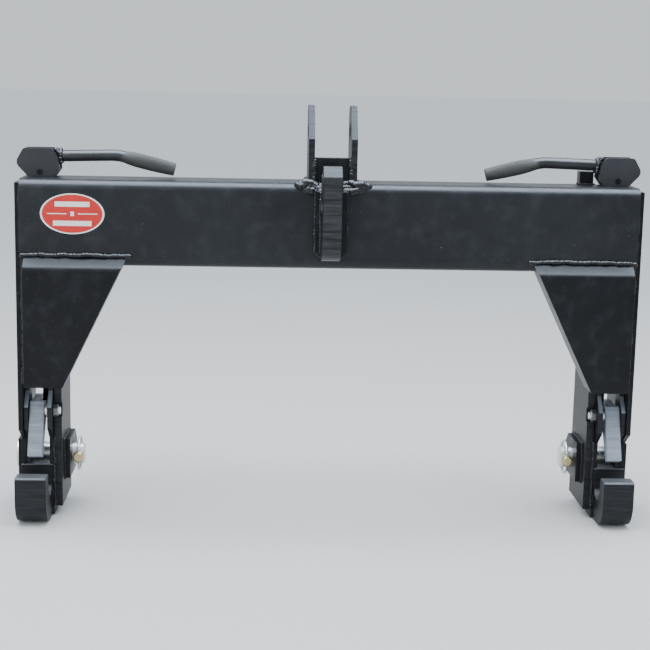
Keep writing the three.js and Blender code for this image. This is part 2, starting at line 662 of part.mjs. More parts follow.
// The rod's shank: straight down from the cam pin, a joggle rearward, then straight to its foot.
function rodShank() {
  const at = (y, z) => new THREE.Vector3(0, y, z);
  const [low, high] = joggleZ;
  const pull = (high - low) / 2;
  const joggle = new THREE.CubicBezierCurve3(
    at(rodY, high),
    at(rodY, high - pull),
    at(rodFootY, low + pull),
    at(rodFootY, low),
  );
  const foot = at(rodFootY, PIVOT_Z - ROD_FOOT_TAIL);
  const centres = [at(rodY, camPinZ), ...joggle.getPoints(ROD_BEND_STEPS), foot];
  return sweptBar(centres.map((centre) => [centre, ROD, ROD]), new THREE.Vector3(1, 0, 0), 16);
}

// The shank with an eye for the cam pin at its top and a bore for the cross pin at its foot.
function releaseRod() {
  const eye = rodAlong('y', ROD_EYE / 2, -ROD_EYE_WIDTH / 2, ROD_EYE_WIDTH / 2, 28);
  const eyeBore = rodAlong('y', CAM_PIN / 2 + RUNNING_GAP, -ROD_EYE_WIDTH, ROD_EYE_WIDTH);
  const footBore = rodAlong('x', CROSS_PIN / 2 + RUNNING_GAP, -ROD, ROD);
  return geometryOf(rodShank()
    .add(solid(eye.translate(0, rodY, camPinZ)))
    .subtract(solid(eyeBore.translate(0, rodY, camPinZ)))
    .subtract(solid(footBore.translate(0, rodFootY, PIVOT_Z))));
}

function crossPin() {
  const reach = [rodX - ROD / 2 - CROSS_PIN_TAIL, latchX[1] - FIT_GAP];
  const half = widthOf(reach) / 2;
  return { geometry: rodAlong('x', CROSS_PIN / 2, -half, half, 20), x: middleOf(reach) };
}

// ---------------------------------------------------------------- cam levers
// An outline with each corner rounded to its own radius.
function roundedOutline(corners) {
  const shape = new THREE.Shape();
  corners.forEach(([x, y, radius], index) => {
    const corner = new THREE.Vector2(x, y);
    const before = new THREE.Vector2(...corners.at(index - 1)).sub(corner).normalize();
    const after = new THREE.Vector2(...corners[(index + 1) % corners.length]).sub(corner).normalize();
    const half = Math.acos(before.dot(after)) / 2;
    const cut = radius / Math.tan(half);
    const inward = before.clone().add(after).normalize();
    const centre = corner.clone().addScaledVector(inward, radius / Math.sin(half));
    const start = corner.clone().addScaledVector(before, cut).sub(centre).angle();
    const end = corner.clone().addScaledVector(after, cut).sub(centre).angle();
    const turn = before.cross(after) > 0;
    shape.absarc(centre.x, centre.y, radius, start, end, turn);
  });
  return shape;
}

// x is measured from the cam pin towards the middle of the frame.
function camPlate(side) {
  const shape = roundedOutline(CAM_CORNERS);
  roundHole(shape, 0, 0, CAM_PIN / 2 + RUNNING_GAP);
  const body = solid(plateAcrossY(shape, CAM_PLATE, 5));
  return geometryOf(side < 0 ? body : body.mirror([1, 0, 0]));
}

// A round bar that bends down into a flattened grip.
function handleBar(side) {
  const at = (along, rise) => new THREE.Vector3(along, 0, rise);
  const [start, corner, end] = [
    at(BAR_START, BAR_RISE),
    at(BAR_BEND, BAR_BEND_RISE),
    at(GRIP_END, GRIP_END_RISE),
  ];
  const [before, after] = [start, end].map((point) => {
    return corner.clone().add(point.clone().sub(corner).setLength(BEND_REACH));
  });
  const bend = new THREE.QuadraticBezierCurve3(before, corner, after).getPoints(BEND_STEPS);
  const grip = GRIP_SECTIONS.map(([share, width, height]) => {
    return [corner.clone().lerp(end, share), width, height];
  });
  const stations = [start, ...bend].map((centre) => [centre, BAR, BAR]);
  const body = sweptBar([...stations, ...grip], new THREE.Vector3(0, 1, 0), 20);
  return geometryOf(side < 0 ? body : body.mirror([1, 0, 0]));
}

function camPin() {
  const half = camGap / 2 + CAM_PLATE + CAM_PIN_TAIL;
  return rodAlong('y', CAM_PIN / 2, -half, half);
}

// ---------------------------------------------------------------- mast and top hook
function mastEar() {
  const footY = behind(EAR_FOOT);
  const [kinkZ, topZ] = [beamTopZ + EAR_KINK, beamTopZ + EAR_HEIGHT];
  const shape = outline([
    [footY, beamTopZ + FIT_GAP],
    [beamRearY - EAR_FOOT, beamTopZ + FIT_GAP],
    [beamRearY - EAR_FOOT, topZ - EAR_CHAMFER],
    [beamRearY - EAR_FOOT - EAR_CHAMFER, topZ],
    [footY + EAR_LEAN, topZ],
    [footY, kinkZ],
  ]);
  roundHole(shape, behind(TOP_LINK_Y), beamTopZ + TOP_LINK_RISE, TOP_LINK_HOLE / 2);
  return plateAcrossX(shape, EAR_THICKNESS, 16);
}

function topHookProfile() {
  const shape = new THREE.Shape();
  const rearY = BEAM_FRONT_Y - BACKING_DEPTH - 2 * FIT_GAP;
  const frontY = topPinY - TOP_SEAT - TOP_HOOK_NOSE;
  const bottomZ = topPinZ - TOP_HOOK_BELLY;
  const tipZ = topPinZ + TOP_HOOK_TIP;
  shape.moveTo(frontY, bottomZ + TOP_HOOK_RADIUS);
  shape.absarc(frontY + TOP_HOOK_RADIUS, bottomZ + TOP_HOOK_RADIUS, TOP_HOOK_RADIUS, Math.PI, Math.PI * 1.5);
  shape.lineTo(rearY, bottomZ);
  shape.lineTo(rearY, tipZ - TIP_SLOPE);
  shape.lineTo(topPinY + TOP_SEAT, tipZ - TIP_SLOPE - TOP_HOOK_STEP);
  shape.lineTo(topPinY + TOP_SEAT, topPinZ);
  shape.absarc(topPinY, topPinZ, TOP_SEAT, 0, -Math.PI, true);
  shape.lineTo(topPinY - TOP_SEAT, tipZ - TIP_SLOPE);
  shape.lineTo(topPinY - TOP_SEAT - TIP_FLAT, tipZ);
  shape.lineTo(frontY + TIP_SLOPE, tipZ);
  shape.lineTo(frontY, tipZ - TIP_SLOPE);
  return shape;
}

function backingBlock() {
  const [half, cut] = [BACKING_WIDTH / 2, BACKING_CUT];
  const [low, high] = [topPinZ - TOP_HOOK_BELLY - BACKING_FOOT, topPinZ + BACKING_HEAD];
  const shape = outline([
    [-half, low + cut],
    [cut - half, low],
    [half - cut, low],
    [half, low + cut],
    [half, high],
    [-half, high],
  ]);
  return plateAcrossY(shape, BACKING_DEPTH);
}

// ---------------------------------------------------------------- linchpins and small pieces
function linchpin() {
  const tailY = LOWER_PIN / 2 + LINCHPIN_TAIL;
  const profile = [
    [0, -LINCHPIN_HEAD_END],
    [LINCHPIN_HEAD / 2 - LINCHPIN_CHAMFER, -LINCHPIN_HEAD_END],
    [LINCHPIN_HEAD / 2, LINCHPIN_CHAMFER - LINCHPIN_HEAD_END],
    [LINCHPIN_HEAD / 2, -LOWER_PIN / 2 - FIT_GAP],
    [LINCHPIN / 2, -LOWER_PIN / 2 - FIT_GAP],
    [LINCHPIN / 2, tailY - LINCHPIN_CHAMFER],
    [LINCHPIN / 2 - LINCHPIN_CHAMFER, tailY],
    [0, tailY],
  ];
  return new THREE.LatheGeometry(profile.map(([r, y]) => new THREE.Vector2(r, y)), 24);
}

// An open hoop round the link pin, its two ends hinged in the linchpin's head.
function linchpinRing() {
  const gap = Math.asin((LINCHPIN_HEAD + RING_WIRE / 2) / 2 / (RING_RADIUS - RING_WIRE / 2));
  const steps = 30;
  const rings = [];
  for (let index = 0; index <= steps; index += 1) {
    const angle = Math.PI + gap + (index / steps) * (Math.PI * 2 - 2 * gap);
    const outwardFrom = new THREE.Vector3(0, Math.cos(angle), Math.sin(angle));
    const centre = outwardFrom.clone().multiplyScalar(RING_RADIUS);
    rings.push(ring(centre, new THREE.Vector3(1, 0, 0), outwardFrom, RING_WIRE / 2, RING_WIRE / 2, 8));
  }
  return loft(rings);
}

function ovalLabel() {
  const shape = new THREE.Shape();
  shape.absellipse(0, 0, LABEL_WIDTH / 2, LABEL_HEIGHT / 2, 0, Math.PI * 2);
  return plateAcrossY(shape, LABEL_THICKNESS, 24);
}

// ---------------------------------------------------------------- assembly
function buildLeg(word, side) {
  const at = (range) => side * middleOf(range);
  place(`outer_leg_plate_${word}`, outerLegPlate(side), blackPaint, at(outerPlateX));
  place(`inner_leg_plate_${word}`, innerLegPlate(), blackPaint, at(innerPlateX));
  place(`outer_cheek_${word}`, latchCheek(), blackPaint, at(outerCheekX));
  place(`inner_cheek_${word}`, latchCheek(), blackPaint, at(innerCheekX));
  place(`outer_boss_plate_${word}`, bossPlate(BOSS_CHAMFER), blackPaint, at(outerBossX));
  place(`inner_boss_plate_${word}`, bossPlate(BOSS_CHAMFER), blackPaint, at(innerBossX));
  place(`gusset_hood_${word}`, gussetHood(side), blackPaint);
  place(`rod_guide_plate_${word}`, rodGuidePlate(side), blackPaint, 0, 0, guideTopZ - GUIDE_PLATE / 2);
  place(`lower_hook_${word}`, lowerHook(side), blackPaint, at(hookX));
  place(`lower_link_pin_${word}`, lowerLinkPin(side), zinc);
}

function buildLatch(word, side) {
  const spacerX = (latchX[0] + innerCheekX[1]) / 2;
  const nutX = innerCheekX[0] - FIT_GAP - NUT_HEIGHT / 2;
  place(`latch_${word}`, latch(side), latchPaint, side * middleOf(latchX), pivotY, PIVOT_Z);
  place(`latch_pivot_bolt_${word}`, pivotBolt(side), zinc, 0, pivotY, PIVOT_Z);
  place(`latch_pivot_nut_${word}`, pivotNut(), zinc, side * nutX, pivotY, PIVOT_Z);
  place(`latch_spacer_${word}`, pivotSpacer(), zinc, side * spacerX, pivotY, PIVOT_Z);
}

function buildRelease(word, side) {
  const pin = crossPin();
  const washer = sleeve(ROD / 2 + FIT_GAP / 2, WASHER / 2, -WASHER_THICKNESS, 0);
  const spring = sleeve(SPRING_OUTSIDE / 2 - SPRING_WIRE, SPRING_OUTSIDE / 2, -springLength, 0);
  place(`release_rod_${word}`, releaseRod(), blackPaint, side * rodX);
  place(`rod_cross_pin_${word}`, pin.geometry, zinc, side * pin.x, rodFootY, PIVOT_Z);
  place(`spring_washer_${word}`, washer, zinc, side * rodX, rodY, washerTopZ);
  place(`return_spring_${word}`, spring, springSteel, side * rodX, rodY, springTopZ);
}

function buildLever(word, side) {
  const plateY = (camGap + CAM_PLATE) / 2;
  place(`cam_plate_front_${word}`, camPlate(side), satinPaint, side * rodX, rodY - plateY, camPinZ);
  place(`cam_plate_rear_${word}`, camPlate(side), satinPaint, side * rodX, rodY + plateY, camPinZ);
  place(`handle_${word}`, handleBar(side), gripPaint, side * rodX, rodY, camPinZ);
  place(`cam_pin_${word}`, camPin(), zinc, side * rodX, rodY, camPinZ);
}

function buildLinchpin(word, side) {
  place(`linchpin_${word}`, linchpin(), yellowZinc, side * linchpinX);
  place(`linchpin_ring_${word}`, linchpinRing(), yellowZinc, side * linchpinX);
}

beam();
for (const [word, side] of sides) {
  buildLeg(word, side);
  buildLatch(word, side);
  buildRelease(word, side);
  buildLever(word, side);
  buildLinchpin(word, side);
  place(`mast_ear_${word}`, mastEar(), blackPaint, side * (EAR_GAP + EAR_THICKNESS) / 2);
}
const crossPlateZ = beamTopZ + FIT_GAP + CROSS_PLATE_HEIGHT / 2;
const crossPlate = new THREE.BoxGeometry(EAR_GAP - 2 * FIT_GAP, CROSS_PLATE, CROSS_PLATE_HEIGHT);
place('mast_cross_plate', crossPlate, blackPaint, 0, behind(EAR_FOOT) + CROSS_PLATE, crossPlateZ);
place('top_hook', plateAcrossX(topHookProfile(), TOP_HOOK_THICKNESS, 14), satinPaint, TOP_HOOK_SHIFT);
const backingY = BEAM_FRONT_Y - FIT_GAP - BACKING_DEPTH / 2;
place('top_hook_backing', backingBlock(), blackPaint, BACKING_SHIFT, backingY);
const labelY = BEAM_FRONT_Y - FIT_GAP - LABEL_THICKNESS / 2;
place('oval_label', ovalLabel(), redPrint, LABEL_INSET - halfWidth, labelY, beamBottomZ + LABEL_RISE);
const stopBlock = new THREE.BoxGeometry(STOP_WIDTH, STOP_DEPTH, STOP_HEIGHT);
const stopX = rodX - camReach - STOP_WIDTH / 2;
const stopZ = beamTopZ + FIT_GAP + STOP_HEIGHT / 2;
place('lever_stop_right', stopBlock, blackPaint, stopX, beamRearY - STOP_DEPTH / 2, stopZ);

export default hitch;
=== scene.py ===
"""Finished model of a three-point quick hitch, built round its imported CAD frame."""
import json
import math
from contextlib import contextmanager

import bmesh
import bpy
from bpy.props import (
    FloatProperty,
    FloatVectorProperty,
    IntProperty,
    PointerProperty,
)
from mathutils import Matrix, Vector


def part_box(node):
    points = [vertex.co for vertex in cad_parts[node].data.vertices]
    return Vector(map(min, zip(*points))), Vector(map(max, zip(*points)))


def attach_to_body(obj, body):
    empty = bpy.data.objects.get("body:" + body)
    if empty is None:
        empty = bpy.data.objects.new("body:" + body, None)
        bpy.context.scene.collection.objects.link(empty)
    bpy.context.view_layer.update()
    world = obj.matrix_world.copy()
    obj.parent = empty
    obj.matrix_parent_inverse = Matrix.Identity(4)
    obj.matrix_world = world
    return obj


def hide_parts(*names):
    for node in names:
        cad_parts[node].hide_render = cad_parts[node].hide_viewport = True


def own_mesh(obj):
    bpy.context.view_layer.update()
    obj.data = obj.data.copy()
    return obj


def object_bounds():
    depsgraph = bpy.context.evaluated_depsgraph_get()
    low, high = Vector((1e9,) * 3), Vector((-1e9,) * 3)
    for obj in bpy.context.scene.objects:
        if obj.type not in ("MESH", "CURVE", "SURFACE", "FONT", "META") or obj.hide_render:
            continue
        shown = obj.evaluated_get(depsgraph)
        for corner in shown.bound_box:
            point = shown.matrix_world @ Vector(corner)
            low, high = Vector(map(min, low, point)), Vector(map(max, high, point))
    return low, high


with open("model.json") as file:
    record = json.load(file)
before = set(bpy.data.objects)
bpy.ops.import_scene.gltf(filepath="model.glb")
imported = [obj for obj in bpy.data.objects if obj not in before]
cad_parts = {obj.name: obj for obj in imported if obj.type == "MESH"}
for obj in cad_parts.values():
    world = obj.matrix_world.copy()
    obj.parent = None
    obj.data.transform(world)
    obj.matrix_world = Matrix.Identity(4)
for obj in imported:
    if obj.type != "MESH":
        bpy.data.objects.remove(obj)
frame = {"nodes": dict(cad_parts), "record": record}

bl_info = {
    "name": "Quick Hitch Finisher",
    "version": (1, 0, 0),
    "blender": (4, 5, 0),
    "location": "3D View > Sidebar > Quick Hitch",
    "description": "Dresses the quick hitch's frame with paint, plating, welds and flame-cut faces",
    "category": "Object",
}

CAD_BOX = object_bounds()
SIDES = (("left", -1), ("right", 1))
RECORD = frame["record"]
NODE_BODY = {
    node: body
    for body, nodes in RECORD["behaviour"]["bodies"].items()
    for node in nodes
}
ROOT = NODE_BODY["beam_tube"]
SHARP = math.radians(32)
FINE_SHARP = math.radians(14)

# Looks: fine sizes of the finishes that aren't settings.
BEAD_DRIFT_SCALE = 55.0  # lumps per metre in a bead's slow wander
BEAD_DRIFT = 5.0  # slow wander, as a share of the Wander size
BEAD_SHAKE = 0.12  # ripple-to-ripple shake, as a share of the Wander size
BEAD_SWELL = 0.12  # how much ripples differ in size
SPATTER_SIZES = (0.35, 1.3)  # smallest and largest ball, as shares of the radius
SKIN = 0.003  # thickness of a torch-cut skin
CUT_STRETCH = (14.0, 0.0, 330.0)  # lumps per metre of the striations' noise along each axis
GRIP_BEND = 0.43  # where the grip's coating ends, along the handle
GRIP_SLANT = 0.9  # how far that end leans over
GRIP_RAGGED = 0.010  # how ragged it is
# Painted highlights of the flame-cut finishes: the lighter colour painted on a hook's up-facing edges,
# standing in for light from above, then the colours painted on the ridges of the top hook's and the latches'
# striations.
HOOK_TOP_HIGHLIGHT = (0.12, 0.13, 0.15)
HOOK_RIDGE_HIGHLIGHT = (0.085, 0.092, 0.105)
LATCH_RIDGE_HIGHLIGHT = (0.44, 0.49, 0.56)
ZINC_STAIN = (0.42, 0.41, 0.38)
YELLOW_ZINC_STAIN = (0.22, 0.15, 0.08)
SPRING_STAIN = (0.05, 0.045, 0.04)
LABEL_RIM = 0.885  # where the white rim starts, as the square of its share of the oval
# Each mark's centre and half size, as shares of the oval's half width and height.
LABEL_MARKS = (
    (0.0, 0.47, 0.54, 0.125),
    (0.0, -0.47, 0.60, 0.125),
    (-0.48, 0.0, 0.30, 0.022),
    (0.48, 0.0, 0.30, 0.022),
    (0.0, 0.0, 0.055, 0.11),
)

# Places of the beads against the plates, in metres.
RUN_OUT = 0.004  # how far most beads stop short of an edge, or run past it
CORNER_STOP = 0.006  # how far they stop short of a rounded corner
HEAVY_RUN_OUT = 0.008  # how far the beads on top of the beam's ends stop short
LAP_RISE = 0.0015  # how far a hood's bead lies above its top edge
LAP_PROUD = 0.0016  # how far it lies before the beam's face
BOSS_CUT = 0.022  # cut corners of the boss plates
BOSS_BACK = 0.0385  # rear end of the boss plates' beads
HOOK_SEAM_GAP = (-0.002, 0.003)  # ends of the gap between a hook's two beads
HOOK_SEAM_TOP = 0.042
FLANGE_RING = 0.0258  # radius of the bead round a link pin's flange
SPATTER_PATCH = (0.02, 0.002, 0.09)  # width, lower and upper end above a hood
LEG_PATCH = (-0.06, 0.07)  # lower and upper end of the spatter on a leg
# Lines of the heap at an ear's foot. Each point is a distance outwards from the ear's outer face, or
# inwards from its inner face where negative, then back and up from the beam's front corner.
EAR_HEAP = (
    ((0.017, 0.006, 0.0), (0.004, 0.001, 0.004), (-0.009, 0.002, 0.002)),
    ((0.013, 0.001, -0.002), (-0.010, 0.0, -0.003)),
    ((0.006, -0.002, -0.007), (-0.007, -0.002, -0.008)),
)
LEG_SEED, MAST_SEED, HOOK_SEED = 60, 120, 160
SEEDS_A_SIDE = 20


# ------------------------------------------------------------------ settings
def colour_setting(name, description, default):
    """A colour property with its usual range."""
    return FloatVectorProperty(
        name=name, description=description, default=default, size=3, min=0.0, max=1.0, subtype="COLOR"
    )


def length_setting(name, description, default):
    """A length property in metres."""
    return FloatProperty(
        name=name, description=description, default=default, min=0.0, unit="LENGTH", precision=5
    )


def angle_setting(name, description, degrees):
    """An angle property whose default is given in degrees."""
    return FloatProperty(
        name=name, description=description, default=math.radians(degrees), unit="ROTATION"
    )


def power_setting(name, description, default):
    """A light's power in watts."""
    return FloatProperty(name=name, description=description, default=default, unit="POWER")


class HITCH_PG_finishes(bpy.types.PropertyGroup):
    """Colours of the hitch's paints and platings."""

    enamel: colour_setting("Enamel", "Black enamel of the plates", (0.0075, 0.0080, 0.0100))
    beam_enamel: colour_setting("Beam enamel", "Enamel of the beam", (0.0110, 0.0130, 0.0165))
    cam_enamel: colour_setting("Cam enamel", "Thinner enamel of the cams", (0.0330, 0.0345, 0.0400))
    # The dust colour also serves as the painted highlight on flame-cut ridges and weld lumps.
    dust_and_highlight: colour_setting("Dust", "Pale film that dulls the enamel", (0.0420, 0.0460, 0.0540))
    # The latch grey is also painted on the cheeks' up-facing edges as a highlight for light from above.
    latch_grey: colour_setting("Latch grey", "Thin grey paint of the latch blades", (0.2300, 0.2650, 0.3150))
    grip: colour_setting("Grip", "Worn coating of the handles", (0.0620, 0.0630, 0.0600))
    zinc: colour_setting("Zinc", "Bright zinc plating", (0.7800, 0.7800, 0.7500))
    yellow_zinc: colour_setting("Yellow zinc", "Passivated zinc of the linchpins", (0.5600, 0.4700, 0.2500))
    spring: colour_setting("Spring", "Oiled spring wire", (0.1600, 0.1650, 0.1700))
    label_red: colour_setting("Label red", "Red of the oval label", (0.6200, 0.0140, 0.0090))
    label_white: colour_setting("Label white", "White of the oval label", (0.8600, 0.8600, 0.8400))
    edge_ease: length_setting("Edge ease", "Width of the rounding on plate edges", 0.0010)


class HITCH_PG_welds(bpy.types.PropertyGroup):
    """Sizes of the weld beads."""

    fillet: length_setting("Fillet", "Radius of an ordinary bead", 0.0030)
    heavy: length_setting("Heavy bead", "Radius of the beads at the mast and hoods", 0.0042)
    pitch: length_setting("Pitch", "Distance between ripples", 0.0022)
    wander: length_setting("Wander", "How far a bead strays from its line", 0.0012)
    spatter_size: length_setting("Spatter size", "Radius of a spatter ball", 0.0009)
    spatter_density: FloatProperty(
        name="Spatter density", description="Spatter balls per square metre", default=5200.0, min=0.0
    )
    seed: IntProperty(name="Seed", description="Start of the welds' random values", default=7, min=0)


class HITCH_PG_cuts(bpy.types.PropertyGroup):
    """Striations that a cutting torch leaves on thick plate."""

    depth: length_setting("Depth", "Depth of the deepest striation", 0.0009)
    pitch: length_setting("Pitch", "Distance between rows of the cut face", 0.0008)
    proud: length_setting("Proud", "Height of the cut skin over the plate's edge", 0.0004)


class HITCH_PG_springs(bpy.types.PropertyGroup):
    """Sizes of the return springs."""

    turns: FloatProperty(name="Turns", description="Turns of the coil", default=11.0, min=1.0)
    wire: length_setting("Wire", "Diameter of the spring wire", 0.0036)


class HITCH_PG_stage(bpy.types.PropertyGroup):
    """Camera, lights and floor."""

    eye: FloatVectorProperty(
        name="Eye", description="Camera position", default=(-0.11525, -2.43325, 0.67162), size=3,
        subtype="TRANSLATION",
    )
    pitch: angle_setting("Pitch", "Camera's tilt below level", 10.326)
    yaw: angle_setting("Yaw", "Camera's turn to the right", 2.649)
    roll: angle_setting("Roll", "Camera's roll", 1.188)
    lens: FloatProperty(
        name="Lens", description="Focal length on a 36 mm sensor", default=80.5, unit="CAMERA"
    )
    floor_colour: colour_setting("Floor", "Colour of the floor", (0.90, 0.90, 0.90))
    horizon_colour: colour_setting("Horizon", "Colour of the light from the sides", (0.805, 0.865, 0.905))
    sky_colour: colour_setting("Sky", "Colour of the light from above", (0.80, 0.90, 1.0))
    sky_strength: FloatProperty(
        name="Sky strength", description="Strength of the surrounding light", default=1.0, min=0.0
    )
    top_power: power_setting("Top light", "Power of the light overhead", 60.0)
    card_power: power_setting("Sky card", "Power of the card that only shows in reflections", 520.0)
    card_colour: colour_setting("Sky card colour", "Colour of the overhead card", (0.72, 0.84, 1.0))
    front_power: power_setting("Front light", "Power of the light before the hitch", 25.0)


# ------------------------------------------------------------------ meshes
def new_object(name, mesh):
    """An object for a mesh, linked to the scene."""
    obj = bpy.data.objects.new(name, mesh)
    bpy.context.scene.collection.objects.link(obj)
    return obj


def plain_mesh(obj):
    """The object's mesh with its modifiers applied."""
    bpy.context.view_layer.update()
    graph = bpy.context.evaluated_depsgraph_get()
    return bpy.data.meshes.new_from_object(obj.evaluated_get(graph), depsgraph=graph)


def settle(obj):
    """Bakes the modifiers into the object's mesh."""
    mesh = plain_mesh(obj)
    obj.modifiers.clear()
    obj.data = mesh
    return obj


def shade(obj, sharp_angle=SHARP):
    """Smooth shading that keeps real corners sharp."""
    obj.data.shade_smooth()
    obj.data.set_sharp_from_angle(angle=sharp_angle)
    return obj


@contextmanager
def edited(mesh, source=None):
    """The mesh, or its source, opened for editing and written back at the end."""
    work = bmesh.new()
    work.from_mesh(source or mesh)
    yield work
    work.to_mesh(mesh)
    work.free()


def joined_copy(node):
    """A copy of a CAD node's mesh with its loose triangles joined and its flats made whole."""
    mesh = bpy.data.meshes.new(node)
    with edited(mesh, frame["nodes"][node].data) as work:
        bmesh.ops.remove_doubles(work, verts=work.verts, dist=1e-5)
        bmesh.ops.dissolve_limit(
            work, angle_limit=math.radians(0.4), verts=work.verts, edges=work.edges
        )
    return mesh


def attach(obj, node):
    """The object stands for the CAD node and moves with its body."""
    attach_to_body(obj, NODE_BODY[node])
    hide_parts(node)
    return obj


def turn_corners(mesh, radius):
    """Rounds a plate's corners, the edges that run through its thickness along Y."""
    with edited(mesh) as work:
        through = [
            edge for edge in work.edges
            if len(edge.link_faces) == 2
            and abs((edge.verts[1].co - edge.verts[0].co).normalized().y) > 0.99
            and edge.calc_face_angle() > math.radians(12)
        ]
        bmesh.ops.bevel(work, geom=through, offset=radius, segments=4, profile=0.5, affect="EDGES",
                        clamp_overlap=True)


def eased(node, material, ease=None, sharp_angle=SHARP, corner=0.0, set_back=0.0):
    """A CAD node's shape with its edges, and optionally its corners, rounded off.

    Its front face can be set back to make room for a cut skin.
    """
    mesh = joined_copy(node)
    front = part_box(node)[0].y
    for vertex in mesh.vertices:
        if vertex.co.y < front + 1e-4:
            vertex.co.y += set_back
    if corner:
        turn_corners(mesh, corner)
    obj = new_object(node + "_finished", mesh)
    bevel = obj.modifiers.new("Ease", "BEVEL")
    bevel.width = ease or bpy.context.scene.hitch_finishes.edge_ease
    bevel.segments = 2
    bevel.limit_method = "ANGLE"
    bevel.angle_limit = math.radians(38)
    bevel.use_clamp_overlap = True
    settle(obj)
    obj.data.materials.clear()
    obj.data.materials.append(material)
    shade(obj, sharp_angle)
    flats = obj.modifiers.new("Flats", "WEIGHTED_NORMAL")
    flats.keep_sharp = True
    return attach(settle(obj), node)


def rounded(node, material, levels=2):
    """A CAD node's shape subdivided smooth between its real corners."""
    mesh = joined_copy(node)
    with edited(mesh) as work:
        crease = work.edges.layers.float.new("crease_edge")
        for edge in work.edges:
            if len(edge.link_faces) == 2 and edge.calc_face_angle() > math.radians(50):
                edge[crease] = 0.8
    obj = new_object(node + "_finished", mesh)
    smooth = obj.modifiers.new("Smooth", "SUBSURF")
    smooth.levels = levels
    smooth.render_levels = levels
    settle(obj)
    obj.data.materials.clear()
    obj.data.materials.append(material)
    return attach(shade(obj), node)


def path_mesh(name, paths):
    """A mesh of loose polylines for a tree to follow."""
    mesh = bpy.data.meshes.new(name)
    points = []
    edges = []
    for path in paths:
        first = len(points)
        points += [Vector(point) for point in path]
        edges += [(index, index + 1) for index in range(first, len(points) - 1)]
    mesh.from_pydata(points, edges, [])
    return mesh


# ------------------------------------------------------------------ node trees
class NodeBuilder:
    """A node tree, built a node at a time."""

    def __init__(self, tree):
        self.tree = tree

    def put(self, node, key, value):
        """Gives a node's input a value or joins it to a socket."""
        if isinstance(value, bpy.types.NodeSocket):
            self.tree.links.new(value, node.inputs[key])
        else:
            node.inputs[key].default_value = value

    def add(self, kind, inputs=None, output=0, **settings):
        """One output of a new node, made with its settings and inputs."""
        node = self.tree.nodes.new(kind)
        for key, value in settings.items():
            setattr(node, key, value)
        for key, value in (inputs or {}).items():
            self.put(node, key, value)
        return node.outputs[output]

    def maths(self, operation, first, second=0.0):
        """The result of a sum of two values."""
        return self.add("ShaderNodeMath", {0: first, 1: second}, operation=operation)

    def vector(self, operation, first, second):
        """The result of a sum of two vectors."""
        return self.add("ShaderNodeVectorMath", {0: first, 1: second}, operation=operation)

    def scaled(self, vector, factor):
        """A vector made longer or shorter."""
        return self.add("ShaderNodeVectorMath", {0: vector, "Scale": factor}, operation="SCALE")

    def parts(self, vector):
        """A vector's X, Y and Z."""
        return self.add("ShaderNodeSeparateXYZ", {0: vector}).node.outputs


class GeometryTree(NodeBuilder):
    """A geometry node tree with named inputs and one material."""

    def __init__(self, name):
        super().__init__(bpy.data.node_groups.new(name, "GeometryNodeTree"))
        face = self.tree.interface
        face.new_socket("Geometry", in_out="INPUT", socket_type="NodeSocketGeometry")
        face.new_socket("Geometry", in_out="OUTPUT", socket_type="NodeSocketGeometry")
        self.inputs = self.tree.nodes.new("NodeGroupInput").outputs
        self.end = self.tree.nodes.new("NodeGroupOutput")

    def size(self, name, default, kind="NodeSocketFloat"):
        """A named input of the tree."""
        socket = self.tree.interface.new_socket(name, in_out="INPUT", socket_type=kind)
        if default is not None:
            socket.default_value = default
        return self.inputs[name]

    def finish(self, geometry):
        """Ends the tree with real geometry in one material."""
        material = self.size("Material", None, "NodeSocketMaterial")
        real = self.add("GeometryNodeRealizeInstances", {0: geometry})
        smooth = self.add("GeometryNodeSetShadeSmooth", {"Geometry": real})
        dressed = self.add("GeometryNodeSetMaterial", {"Geometry": smooth, "Material": material})
        self.put(self.end, 0, dressed)
        return self.tree


def weld_bead_tree():
    """Overlapping ripples along every line of the guide mesh."""
    build = GeometryTree("Weld bead")
    radius = build.size("Radius", 0.003)
    pitch = build.size("Pitch", 0.002)
    wander = build.size("Wander", 0.001)
    seed = build.size("Seed", 1, "NodeSocketInt")
    lines = build.add("GeometryNodeMeshToCurve", {"Mesh": build.inputs[0]})
    even = build.add("GeometryNodeResampleCurve", {"Curve": lines, "Length": pitch}, mode="LENGTH")
    shake = build.add(
        "FunctionNodeRandomValue",
        {0: (-1.0, -1.0, -1.0), 1: (1.0, 1.0, 1.0), "Seed": seed},
        data_type="FLOAT_VECTOR",
    )
    drift = build.add(
        "ShaderNodeTexNoise", {"W": seed, "Scale": BEAD_DRIFT_SCALE, "Detail": 1.0}, "Color",
        noise_dimensions="4D",
    )
    centred = build.vector("SUBTRACT", drift, (0.5, 0.5, 0.5))
    strayed = build.scaled(centred, build.maths("MULTIPLY", wander, BEAD_DRIFT))
    shaken = build.scaled(shake, build.maths("MULTIPLY", wander, BEAD_SHAKE))
    offset = build.vector("ADD", strayed, shaken)
    placed = build.add("GeometryNodeSetPosition", {"Geometry": even, "Offset": offset})
    ripple = build.add("GeometryNodeMeshUVSphere", {"Segments": 12, "Rings": 8, "Radius": radius})
    tangent = build.add("GeometryNodeInputTangent")
    turned = build.add("FunctionNodeAlignRotationToVector", {"Vector": tangent}, axis="X")
    swell = build.add(
        "FunctionNodeRandomValue",
        {2: 1 - BEAD_SWELL, 3: 1 + BEAD_SWELL, "Seed": build.maths("ADD", seed, 5.0)}, 1,
        data_type="FLOAT",
    )
    ripples = build.add(
        "GeometryNodeInstanceOnPoints",
        {"Points": placed, "Instance": ripple, "Rotation": turned, "Scale": swell},
    )
    return build.finish(ripples)


